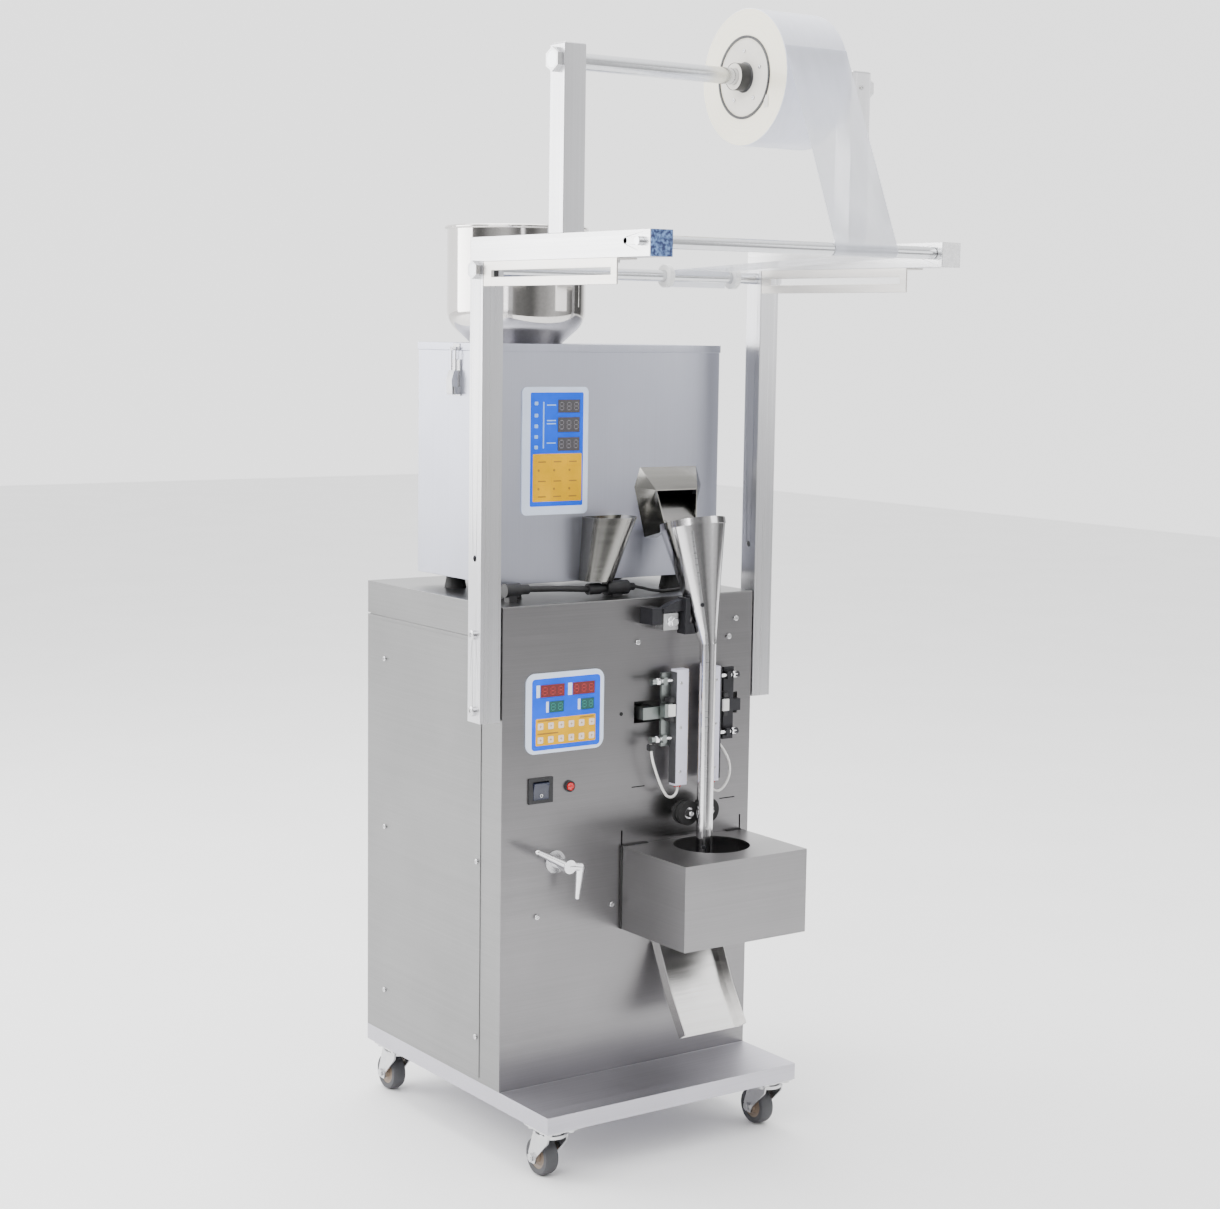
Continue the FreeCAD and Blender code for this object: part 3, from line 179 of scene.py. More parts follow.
def ringed(name, face, wound, axis_y, axis_z, radius):
    """Reel of film: fine rings on the cut faces, faint bands round the outside."""
    mat, tree, bsdf = shader(name, wound, 0.28, coat=0.25)
    place = tree.nodes.new("ShaderNodeTexCoord")
    split = tree.nodes.new("ShaderNodeSeparateXYZ")
    tree.links.new(place.outputs["Object"], split.inputs["Vector"])

    def maths(operation, a, b=None):
        node = tree.nodes.new("ShaderNodeMath")
        node.operation = operation
        for socket, value in zip(node.inputs, (a, b)):
            if value is None:
                continue
            if isinstance(value, float):
                socket.default_value = value
            else:
                tree.links.new(value, socket)
        return node.outputs["Value"]

    dy = maths("SUBTRACT", split.outputs["Y"], axis_y)
    dz = maths("SUBTRACT", split.outputs["Z"], axis_z)
    r = maths("SQRT", maths("ADD", maths("MULTIPLY", dy, dy), maths("MULTIPLY", dz, dz)))
    layers = tree.nodes.new("ShaderNodeTexNoise")
    layers.noise_dimensions = "1D"
    layers.inputs["Scale"].default_value = 900.0
    layers.inputs["Detail"].default_value = 3.0
    tree.links.new(r, layers.inputs["W"])
    on_side = maths("GREATER_THAN", r, radius - 0.0006)
    cut = ramp(tree, layers.outputs["Fac"], scaled(face, 0.9), face, 0.3, 0.7)
    side = ramp(tree, noise(tree, 60.0, (5, 1, 1)), scaled(wound, 0.95), wound)
    mix = tree.nodes.new("ShaderNodeMix")
    mix.data_type = "RGBA"
    tree.links.new(on_side, mix.inputs["Factor"])
    tree.links.new(cut, mix.inputs["A"])
    tree.links.new(side, mix.inputs["B"])
    tree.links.new(mix.outputs["Result"], bsdf.inputs["Base Color"])
    bump(tree, bsdf, layers.outputs["Fac"], 0.25, 0.0003)
    return mat


def marbled(name, dark, light):
    """Glossy plastic with pale veins."""
    mat, tree, bsdf = shader(name, dark, 0.25, coat=0.6)
    vein = noise(tree, 220.0, detail=6.0)
    tree.links.new(ramp(tree, vein, dark, light, 0.42, 0.62), bsdf.inputs["Base Color"])
    bump(tree, bsdf, vein, 0.05, 0.0002)
    return mat


def clear_film(name, color):
    """Thin milky film, slightly cloudy and wavy."""
    mat, tree, bsdf = shader(name, color, 0.22, transmission=0.35, coat=0.3)
    cloud = noise(tree, 25.0, (1, 0.3, 0.3), 3.0)
    tree.links.new(ramp(tree, cloud, scaled(color, 0.93), color), bsdf.inputs["Base Color"])
    tree.links.new(ramp(tree, cloud, 0.80, 0.93), bsdf.inputs["Alpha"])
    bump(tree, bsdf, noise(tree, 18.0, (3, 0.4, 0.4), 2.0), 0.35, 0.002)
    return mat


def glowing(name, color, strength):
    """Segment window: tinted lens with a dim cell pattern."""
    mat, tree, bsdf = shader(name, color, 0.12, coat=0.8)
    cell = noise(tree, 700.0, detail=1.0)
    tree.links.new(ramp(tree, cell, scaled(color, 0.8), color), bsdf.inputs["Base Color"])
    bsdf.inputs["Emission Color"].default_value = (*color, 1)
    bsdf.inputs["Emission Strength"].default_value = strength
    return mat


ROLL_LOW, ROLL_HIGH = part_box("film_roll")
REEL_Y, REEL_Z = (ROLL_LOW.y + ROLL_HIGH.y) / 2, (ROLL_LOW.z + ROLL_HIGH.z) / 2
REEL_R = (ROLL_HIGH.z - ROLL_LOW.z) / 2

FLAT_GRAIN = (4, 4, 900)        # streaks run level on upright sheets
UPRIGHT_GRAIN = (700, 700, 4)   # streaks run up the posts
DEPTH_GRAIN = (700, 4, 700)     # streaks run along the arms
M = {
    "cabinet": brushed("cabinet_steel", (0.25, 0.245, 0.25), 0.33, FLAT_GRAIN, 0.035, 0.010),
    "side": brushed("side_steel", (0.26, 0.26, 0.26), 0.36, FLAT_GRAIN),
    "tray": brushed("tray_steel", (0.56, 0.55, 0.60), 0.50, (4, 700, 700)),
    "casing": brushed("casing_steel", (0.56, 0.575, 0.66), 0.33, UPRIGHT_GRAIN, 0.02),
    "post": brushed("post_steel", (0.70, 0.70, 0.72), 0.30, UPRIGHT_GRAIN, 0.03),
    "arm": brushed("arm_steel", (0.80, 0.80, 0.81), 0.30, DEPTH_GRAIN, 0.03),
    "rail": brushed("rail_steel", (0.78, 0.755, 0.72), 0.38, DEPTH_GRAIN, 0.03),
    "guard": brushed("guard_steel", (0.28, 0.275, 0.28), 0.33, FLAT_GRAIN, 0.03, 0.006),
    "dull": brushed("chute_steel", (0.27, 0.265, 0.25), 0.20, (4, 4, 300)),
    "insulation": moulded("bar_insulation", (0.05, 0.05, 0.055), 0.6),
    "slide": brushed("slide_steel", (0.70, 0.69, 0.68), 0.24, (4, 4, 700)),
    "mirror": polished("mirror_steel", (0.68, 0.66, 0.64), 0.07),
    "funnel": polished("funnel_steel", (0.76, 0.75, 0.76), 0.12),
    "bar": polished("ground_bar", (0.66, 0.67, 0.69), 0.16),
    "chrome": polished("chrome_plate", (0.82, 0.82, 0.84), 0.09),
    "zinc": polished("zinc_plate", (0.62, 0.62, 0.63), 0.26),
    "screw": polished("screw_steel", (0.60, 0.60, 0.61), 0.22),
    "machined": brushed("machined_steel", (0.50, 0.50, 0.51), 0.30, (60, 60, 900)),
    "brass": brushed("brass_strip", (0.72, 0.54, 0.26), 0.3, (60, 60, 900)),
    "jacket": moulded("jaw_jacket", (0.74, 0.73, 0.86), 0.42, 1500, 0.04),
    "carrier": polished("carrier_plate", (0.34, 0.37, 0.36), 0.26),
    "black_metal": moulded("black_oxide", (0.022, 0.022, 0.026), 0.38, metal=0.4),
    "black": moulded("black_plastic", (0.020, 0.020, 0.022), 0.45),
    "rocker": moulded("rocker_plastic", (0.018, 0.022, 0.045), 0.22, coat=0.5),
    "red": moulded("button_red", (0.52, 0.012, 0.014), 0.25, coat=0.6, spread=0.06),
    "rubber": moulded("rubber_black", (0.018, 0.018, 0.018), 0.72, 1400, 0.25, 0.3),
    "tyre": moulded("caster_tyre", (0.055, 0.055, 0.060), 0.62, 1400, 0.2, 0.25),
    "hub": moulded("caster_hub", (0.20, 0.15, 0.11), 0.5),
    "cable": moulded("cable_jacket", (0.020, 0.020, 0.021), 0.5, 1800),
    "lead": moulded("white_silicone", (0.80, 0.79, 0.77), 0.5, 1800, 0.05),
    "white": moulded("white_plastic", (0.82, 0.82, 0.81), 0.4, spread=0.04),
    "core": moulded("core_card", (0.78, 0.75, 0.69), 0.7, 700, 0.06),
    "casting": moulded("drive_paint", (0.07, 0.09, 0.12), 0.5, 500, 0.1, 0.3),
    "marble": marbled("marbled_blue", (0.010, 0.025, 0.11), (0.16, 0.30, 0.62)),
    "film": clear_film("film_web", (0.80, 0.82, 0.90)),
    "reel": ringed("film_reel", (0.93, 0.88, 0.72), (0.84, 0.86, 0.96), REEL_Y, REEL_Z, REEL_R),
    "frame_white": moulded("keypad_frame", (0.72, 0.81, 1.0), 0.4, spread=0.03, shine=0.2),
    "blue": moulded("keypad_blue", (0.0, 0.105, 0.90), 0.4, spread=0.08, shine=0.12),
    "pale_blue": moulded("keypad_pale_blue", (0.30, 0.55, 0.95), 0.35, spread=0.05),
    "yellow": moulded("keypad_yellow", (0.80, 0.43, 0.0), 0.4, spread=0.10, shine=0.1),
    "brown": moulded("keypad_brown", (0.36, 0.17, 0.012), 0.4, spread=0.1),
    "key": moulded("keypad_key", (0.86, 0.72, 0.62), 0.35, spread=0.05),
    "red_glass": glowing("red_display", (0.16, 0.010, 0.012), 0.12),
    "red_digit": glowing("red_digit", (0.42, 0.02, 0.02), 0.35),
    "green_glass": glowing("green_display", (0.004, 0.085, 0.075), 0.12),
    "green_digit": glowing("green_digit", (0.01, 0.24, 0.20), 0.3),
    "grey_glass": glowing("grey_display", (0.060, 0.055, 0.062), 0.02),
    "grey_digit": glowing("grey_digit", (0.20, 0.19, 0.21), 0.05),
    "copper_red": moulded("wire_red", (0.55, 0.03, 0.02), 0.45),
    # near-black flat colour: painted shade standing in for the dark inside of slots and holes
    "painted_slot_shade": moulded("painted_hollow_shade", (0.010, 0.010, 0.011), 0.9),
}

NODE_LOOK = {
    "base_tray": "tray", "front_panel": "cabinet", "side_panels": "side", "back_panel": "side",
    "top_cap": "side", "lower_posts": "post", "arms": "arm", "roll_posts": "post",
    "slotted_rails": "rail", "roller_block": "marble", "fixed_shafts": "bar", "film_collars": "white",
    "film_web": "film", "hardware": "screw", "weigher_casing": "casing", "weigher_lid": "casing",
    "weigher_feet": "rubber", "hopper": "mirror", "vibrating_tray": "machined",
    "weigh_bucket": "funnel", "front_funnel": "dull", "side_chute": "dull",
    "forming_tube": "funnel", "tube_bracket": "black_metal", "photo_eye": "zinc",
    "discharge_chute": "slide", "jaw_guide_rods": "machined", "gear_motor": "casting",
    "keypads": "frame_white", "panel_fittings": "black", "signal_cable": "cable",
    "caster_plates": "zinc", "bucket_flap": "funnel", "film_roll": "reel", "core_chucks": "core",
    "guide_roller": "bar", "cam_shaft": "machined", "clamp_lever": "chrome", "rocker": "rocker",
    "push_button": "red", "latch_lever": "chrome", "guard_cover": "guard",
    "seal_bar_left": "jacket", "seal_bar_right": "jacket", "jaw_carrier_left": "carrier",
    "jaw_carrier_right": "black_metal", "heater_lead_left": "lead", "heater_lead_right": "lead",
    "pull_wheel_left": "rubber", "pull_wheel_right": "rubber",
    "cross_jaw_front": "machined", "cross_jaw_rear": "machined",
}
CORNERS = ("front_left", "front_right", "back_left", "back_right")
for corner in CORNERS:
    NODE_LOOK["caster_fork_" + corner] = "zinc"
    NODE_LOOK["caster_wheel_" + corner] = "tyre"

BROKEN_EDGE = 0.5 * MM
# thin sheets, turned shells and cords keep their edges as they are
SHARP_EDGES = ("front_panel", "film_web", "film_roll", "hopper", "forming_tube", "front_funnel", "side_chute",
               "signal_cable", "heater_lead_left", "heater_lead_right")


def dress_cad(node, look):
    """Gives a CAD node its material, smooth shading and slightly broken edges."""
    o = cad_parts[node]
    o.data.materials.clear()
    o.data.materials.append(M[look])
    for p in o.data.polygons:
        p.use_smooth = True
    weld = o.modifiers.new("weld", "WELD")
    weld.merge_threshold = 1e-6
    if node in SHARP_EDGES:
        split = o.modifiers.new("creases", "EDGE_SPLIT")
        split.split_angle = math.radians(35)
    else:
        bevel = o.modifiers.new("edges", "BEVEL")
        bevel.width = BROKEN_EDGE
        bevel.segments = 2
        bevel.limit_method = "ANGLE"
        bevel.angle_limit = math.radians(40)
        flatten = o.modifiers.new("flat_faces", "WEIGHTED_NORMAL")
        flatten.mode = "FACE_AREA"
        flatten.weight = 80


for node, look in NODE_LOOK.items():
    dress_cad(node, look)


# ---- mesh helpers -------------------------------------------------------------------------
def piece(name, bm, look, body, smooth=True, crease=35):
    """Mesh object from a bmesh, riding on a body."""
    bmesh.ops.recalc_face_normals(bm, faces=bm.faces)
    mesh = bpy.data.meshes.new(name)
    bm.to_mesh(mesh)
    bm.free()
    mesh.materials.append(M[look])
    if smooth:
        for p in mesh.polygons:
            p.use_smooth = True
        mesh.set_sharp_from_angle(angle=math.radians(crease))
    o = bpy.data.objects.new(name, mesh)
    bpy.context.scene.collection.objects.link(o)
    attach(o, body)
    return o


def lathe(bm, profile, base, axis, steps=48, closed=False):
    """Turns (radius, height) points about an axis through base."""
    axis = Vector(axis).normalized()
    side = axis.orthogonal().normalized()
    other = axis.cross(side)
    base = Vector(base)
    rings = []
    for r, h in profile:
        ring = []
        for i in range(steps):
            a = 2 * math.pi * i / steps
            ring.append(bm.verts.new(base + axis * h + (side * math.cos(a) + other * math.sin(a)) * r))
        rings.append(ring)
    pairs = list(zip(rings, rings[1:]))
    if closed:
        pairs.append((rings[-1], rings[0]))
    for low, high in pairs:
        for i in range(steps):
            j = (i + 1) % steps
            bm.faces.new((low[i], low[j], high[j], high[i]))
    if not closed:
        bm.faces.new(rings[0])
        bm.faces.new(rings[-1])


def rounded_outline(x0, x1, z0, z1, r, steps=6):
    """Rectangle with rounded corners, anticlockwise from its upper right."""
    points = []
    corners = ((x1 - r, z1 - r, 0), (x0 + r, z1 - r, 90), (x0 + r, z0 + r, 180), (x1 - r, z0 + r, 270))
    for cx, cz, start in corners:
        for i in range(steps + 1):
            a = math.radians(start + 90 * i / steps)
            points.append((cx + r * math.cos(a), cz + r * math.sin(a)))
    return points


def front_plate(bm, x0, x1, z0, z1, y, depth, r=0.0008):
    """Rounded plate whose back is at y and whose face, with a softened rim, looks towards -Y."""
    r = min(r, (x1 - x0) * 0.49, (z1 - z0) * 0.49)
    soft = min(0.4 * depth, 0.25 * r)
    rings = []
    for inset, height in ((0, 0), (0, depth - soft), (soft, depth)):
        outline = rounded_outline(x0 + inset, x1 - inset, z0 + inset, z1 - inset, max(r - inset, 1e-5))
        rings.append([bm.verts.new((x, y - height, z)) for x, z in outline])
    for low, high in zip(rings, rings[1:]):
        for i in range(len(low)):
            j = (i + 1) % len(low)
            bm.faces.new((low[i], low[j], high[j], high[i]))
    bm.faces.new(rings[0])
    bm.faces.new(rings[-1])


def box_points(bm, low, high):
    """Closed block between two corners, its edges broken by a small bevel."""
    made = bmesh.ops.create_cube(bm, size=1.0)["verts"]
    for v in made:
        v.co = Vector([l if c < 0 else h for c, l, h in zip(v.co, low, high)])
    edges = list({e for v in made for e in v.link_edges})
    small = min(h - l for l, h in zip(low, high))
    bmesh.ops.bevel(bm, geom=edges, offset=0.12 * small, segments=2, affect="EDGES")


def tube_along(name, points, radius, look, body):
    """Round cable on a NURBS spline with the route's points as its control points."""
    curve = bpy.data.curves.new(name, "CURVE")
    curve.dimensions = "3D"
    curve.bevel_depth = radius
    curve.bevel_resolution = 5
    curve.resolution_u = 10
    curve.use_fill_caps = True
    spline = curve.splines.new("NURBS")
    spline.points.add(len(points) - 1)
    for p, xyz in zip(spline.points, points):
        p.co = (*[c * MM for c in xyz], 1)
    spline.order_u = 3
    spline.use_endpoint_u = True
    curve.materials.append(M[look])
    o = bpy.data.objects.new(name, curve)
    bpy.context.scene.collection.objects.link(o)
    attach(o, body)
    return o


def screw_head(bm, at, way, r, height):
    """Pan head with a rounded rim and a round recess."""
    profile = [(r, 0), (r, height * 0.45), (r * 0.86, height * 0.86), (r * 0.6, height), (r * 0.42, height),
               (r * 0.40, height * 0.4), (0.0001, height * 0.4)]
    lathe(bm, profile, at, way, 24)


# ---- cables -------------------------------------------------------------------------------
# control points of the cords' centre lines, in millimetres
ROUTE_SIGNAL = [(-136, 42, 738.5), (-106, 42, 737.5), (-76, 42, 735.9), (-43, 42, 733.5)]
ROUTE_THIN = [(31, 42, 733.5), (42, 41, 731.5), (56, 39, 727.5), (72, 39, 725.2), (90, 42, 725.2),
              (110, 47, 725.2), (130, 54, 725.2)]
ROUTE_LEFT = [(18, -21, 531.5), (19, -21, 516), (24, -22, 499), (31, -22, 482), (35.2, -22, 473.2),
              (39.6, -23, 465.4), (44.1, -23, 459.3), (51.3, -23, 456.9), (58.5, -22, 459.3),
              (63, -21, 465.4), (63, -21, 473)]
ROUTE_RIGHT = [(128, -20, 527), (138, -22, 514), (147, -23, 499), (150, -23, 483), (145, -23, 468.5),
               (136.9, -22, 459.3), (129.7, -22, 456.9), (122.5, -21, 459.3), (118, -20, 465.4),
               (118, -20, 473)]
THICK_R, THIN_R, LEAD_R = 4, 2, 1.75


def laid_cord(name, route, radius, look, body, node):
    """Cord along its route, in place of a CAD node where there is one."""
    o = tube_along(name, route, radius * MM, look, body)
    if node:
        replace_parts(o, node)


laid_cord("signal_cable_thick", ROUTE_SIGNAL, THICK_R, "cable", "machine", "signal_cable")
laid_cord("signal_cable_thin", ROUTE_THIN, THIN_R, "cable", "machine", None)
for lead_side, lead_route in (("left", ROUTE_LEFT), ("right", ROUTE_RIGHT)):
    laid_cord("heater_lead_%s_cord" % lead_side, lead_route, LEAD_R, "lead", "jaw_" + lead_side,
              "heater_lead_" + lead_side)


# ---- film ---------------------------------------------------------------------------------
FILM_LIFT = 0.7 * MM      # gap between the film's centre line and what it runs on
GUIDE_R = BAR_R = 7.5 * MM
DRIFT_EXTRA = 10 * MM     # the strip's left edge ends this far inside the collars


def film_path():
    """The film's run in the YZ plane as (y, z, sideways drift, share of free flutter)."""
    guide_low, guide_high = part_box("guide_roller")
    collar_low, collar_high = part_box("film_collars")
    guide = ((guide_low.y + guide_high.y) / 2, (guide_low.z + guide_high.z) / 2)
    bar = ((collar_low.y + collar_high.y) / 2, (collar_low.z + collar_high.z) / 2)
    roll = (REEL_Y, REEL_Z)
    roll_r, guide_r, bar_r = REEL_R + FILM_LIFT, GUIDE_R + FILM_LIFT, BAR_R + FILM_LIFT
    dy, dz = guide[0] - roll[0], guide[1] - roll[1]
    span = math.hypot(dy, dz)
    s = (roll_r - guide_r) / span
    c = -math.sqrt(1 - s * s)
    ny, nz = (dy * s - dz * c) / span, (dz * s + dy * c) / span    # normal of the front tangent
    points = []
    down = 24
    for i in range(down + 1):
        t = i / down
        r = roll_r + (guide_r - roll_r) * t
        points.append((roll[0] + dy * t + r * ny, roll[1] + dz * t + r * nz, 0.0, math.sin(math.pi * t)))
    by, bz = bar[0] - guide[0], bar[1] - guide[1]
    reach = math.hypot(by, bz)
    m_angle = math.atan2(bz, by) + math.asin((guide_r + bar_r) / reach) - math.pi / 2
    start, end = math.atan2(nz, ny), m_angle
    while end < start:
        end += 2 * math.pi
    for i in range(1, 13):
        a = start + (end - start) * i / 12
        points.append((guide[0] + guide_r * math.cos(a), guide[1] + guide_r * math.sin(a), 0.0, 0.0))
    my, mz = math.cos(m_angle), math.sin(m_angle)
    ay, az = guide[0] + guide_r * my, guide[1] + guide_r * mz
    ey, ez = bar[0] - bar_r * my, bar[1] - bar_r * mz
    drift = collar_low.x - ROLL_LOW.x + DRIFT_EXTRA
    for i in range(1, 31):
        t = i / 30
        ease = t * t * (3 - 2 * t)
        points.append((ay + (ey - ay) * t, az + (ez - az) * t, drift * ease, math.sin(math.pi * t)))
    top = m_angle + math.pi
    while top > math.pi:
        top -= 2 * math.pi
    for i in range(1, 9):
        a = top * (1 - i / 8)
        points.append((bar[0] + bar_r * math.cos(a), bar[1] + bar_r * math.sin(a), drift, 0.0))
    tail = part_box("film_web")[0].z
    for i in range(1, 4):
        t = i / 3
        points.append((bar[0] + bar_r + 0.6 * MM * t * t, bar[1] + (tail - bar[1]) * t, drift, 0.2 * t))
    return points


def build_film():
    """Strip from the reel round the front roller to the rear rod, with a slight neck, waves and curl."""
    bm = bmesh.new()
    across = 28
    rows = []
    wide = ROLL_HIGH.x - ROLL_LOW.x
    for k, (y, z, drift, free) in enumerate(film_path()):
        row = []
        for j in range(across + 1):
            u = j / across
            neck = 1 - 0.025 * free
            x = ROLL_LOW.x + drift + wide * (0.5 + (u - 0.5) * neck)
            wave = 0.9 * MM * free * math.sin(u * 11 + k * 0.21)
            wave += 0.5 * MM * free * math.sin(u * 23 - k * 0.13)
            curl = 1.6 * MM * free * (abs(2 * u - 1) ** 6)
            row.append(bm.verts.new((x, y - 0.5 * (wave + curl), z - 0.7 * (wave + curl) * 0.6)))
        rows.append(row)
    for low, high in zip(rows, rows[1:]):
        for j in range(across):
            bm.faces.new((low[j], low[j + 1], high[j + 1], high[j]))
    film = piece("film_web_sheet", bm, "film", "machine", crease=80)
    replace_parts(film, "film_web")


build_film()


def build_reel():
    """Wound reel with slightly stepped layers; ring, hub, screws and tape tab on its left face."""
    bm = bmesh.new()
    rng = random.Random(3)
    core_low, core_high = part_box("core_chucks")
    inner = (core_high.z - core_low.z) / 2
    half = (ROLL_HIGH.x - ROLL_LOW.x) / 2
    steps = 26
    radii = [inner + (REEL_R - 0.4 * MM - inner) * i / steps for i in range(steps + 1)]
    rise = [0.25 * MM * rng.random() for _ in radii]
    left = [(r, -half + e) for r, e in zip(radii, rise)]
    right = [(r, half - e) for r, e in zip(radii, rise)]
    profile = left + [(REEL_R, -half + 0.6 * MM), (REEL_R, half - 0.6 * MM)] + right[::-1]
    centre = ((ROLL_LOW.x + ROLL_HIGH.x) / 2, REEL_Y, REEL_Z)
    lathe(bm, profile, centre, (1, 0, 0), 128, closed=True)
    reel = piece("film_reel_wound", bm, "reel", "film_reel")
    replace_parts(reel, "film_roll")
    bm = bmesh.new()
    r0, r1 = inner + 1 * MM, inner + 1 * MM + 3.2 * MM
    x = ROLL_LOW.x
    face_centre = (x, REEL_Y, REEL_Z)
    lathe(bm, [(r0, 0.2 * MM), (r0, -0.9 * MM), (r1, -0.9 * MM), (r1, 0.2 * MM)],
          face_centre, (1, 0, 0), 96, closed=True)
    piece("core_rim_ring", bm, "black", "film_reel")
    bm = bmesh.new()
    hub = [mm(11, 0.5), mm(11, -9), mm(12.5, -12), mm(15.5, -15), mm(16.4, -16.4), mm(16.6, -2), mm(19, 0.5)]
    lathe(bm, hub, face_centre, (1, 0, 0), 48, closed=True)
    piece("core_hub_collar", bm, "black", "film_reel")
    bm = bmesh.new()
    for k in range(5):
        a = 2 * math.pi * k / 5 + 0.3
        at = (x, REEL_Y + 32 * MM * math.cos(a), REEL_Z + 32 * MM * math.sin(a))
        screw_head(bm, at, (-1, 0, 0), 2.4 * MM, 1.4 * MM)
    piece("core_disc_screws", bm, "screw", "film_reel")
    bm = bmesh.new()
    a = math.radians(215)
    y, z = REEL_Y + (inner + 8 * MM) * math.cos(a), REEL_Z + (inner + 8 * MM) * math.sin(a)
    box_points(bm, (x - 0.5 * MM, y - 4 * MM, z - 8 * MM), (x + 0.1 * MM, y + 4 * MM, z + 7 * MM))
    piece("reel_tape_tab", bm, "core", "film_reel", smooth=False)


build_reel()


# ---- keypads ------------------------------------------------------------------------------
SEGMENTS = {"top": (0, 1, 0.7, 0.12), "middle": (0, 0.5, 0.7, 0.12), "bottom": (0, 0, 0.7, 0.12),
            "upper_left": (-0.5, 0.75, 0.12, 0.4), "upper_right": (0.5, 0.75, 0.12, 0.4),
            "lower_left": (-0.5, 0.25, 0.12, 0.4), "lower_right": (0.5, 0.25, 0.12, 0.4)}


def seven_segments(bm, cx, z0, width, height, y):
    """Figure eight of seven bars, as a dark display shows them."""
    for sx, sz, w, h in SEGMENTS.values():
        x, z = cx + sx * width, z0 + sz * height
        dx, dz = w * width / 2, h * height / 2
        front_plate(bm, x - dx, x + dx, z - dz, z + dz, y, 0.12 * MM)


def display(name, x0, x1, z0, z1, y, digits, tint):
    """Tinted window with its row of figure eights."""
    bm = bmesh.new()
    front_plate(bm, x0, x1, z0, z1, y, 0.7 * MM, 0.6 * MM)
    piece(name + "_window", bm, tint + "_glass", "machine")
    bm = bmesh.new()
    pitch = (x1 - x0) / digits
    high = (z1 - z0) * 0.56
    for k in range(digits):
        seven_segments(bm, x0 + pitch * (k + 0.5), z0 + (z1 - z0) * 0.22, pitch * 0.52, high, y - 0.7 * MM)
    piece(name + "_digits", bm, tint + "_digit", "machine")


def panel_part(name, rects, y, depth, look, r):
    """Set of rounded plates given in millimetres, on the plane y."""
    bm = bmesh.new()
    for x0, x1, z0, z1 in rects:
        front_plate(bm, x0 * MM, x1 * MM, z0 * MM, z1 * MM, y, depth * MM, r * MM)
    piece(name, bm, look, "machine")


PLATE_DEPTH = 2 * MM       # of the weigher's keypad frame


def control_keypad():
    """Blue field with a yellow key block, four displays, label strips and plain caption bars."""
    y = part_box("keypads")[0].y
    x0, z0 = -165.0, 531.0
    panel_part("control_field", [(x0 + 8.5, x0 + 114, z0 + 4.5, z0 + 97)], y + 0.1 * MM, 0.3, "blue", 5)
    face = y - 0.2 * MM
    panel_part("control_yellow", [(x0 + 14.5, x0 + 107, z0 + 10.5, z0 + 45.5)], face, 0.2, "yellow", 1.5)
    columns = [x0 + 21.7 + 15.85 * i for i in range(6)]
    rows = (17.6, 35.4)
    keys = [(x - 4.2, x + 4.2, z0 + zc - 4.3, z0 + zc + 4.3) for x in columns for zc in rows]
    panel_part("control_keys", keys, face - 0.2 * MM, 0.35, "key", 1.4)
    marks = []
    for x in columns:
        for zc in rows:
            marks.append((x - 1.8, x + 1.8, z0 + zc - 0.35, z0 + zc + 0.35))
            marks.append((x - 0.35, x + 0.35, z0 + zc - 1.8, z0 + zc + 1.8))
    panel_part("control_key_marks", marks, face - 0.5 * MM, 0.12, "brown", 0.2)
    captions = [(x0 + 17, x0 + 49, z0 + 41.6, z0 + 43.6), (x0 + 82, x0 + 104, z0 + 41.6, z0 + 43.6),
                (x0 + 17, x0 + 49, z0 + 24.8, z0 + 26.6)]
    panel_part("control_captions", captions, face - 0.2 * MM, 0.12, "brown", 0.4)
    for tint, side, left, right, low, high, digits in (
            ("red", "left", 21.6, 58, 72.8, 89, 3), ("red", "right", 71, 105, 72.8, 89, 3),
            ("green", "left", 35, 57, 52.5, 67, 2), ("green", "right", 84, 104, 52.5, 67, 2)):
        display(tint + "_" + side, *mm(x0 + left, x0 + right, z0 + low, z0 + high), face, digits, tint)
    strips = [(x0 + 15, x0 + 20.5, z0 + 73, z0 + 89), (x0 + 63.5, x0 + 70, z0 + 73, z0 + 89),
              (x0 + 30, x0 + 34, z0 + 53, z0 + 67), (x0 + 79, x0 + 83, z0 + 53, z0 + 67)]
    panel_part("control_label_strips", strips, face, 0.15, "frame_white", 0.6)


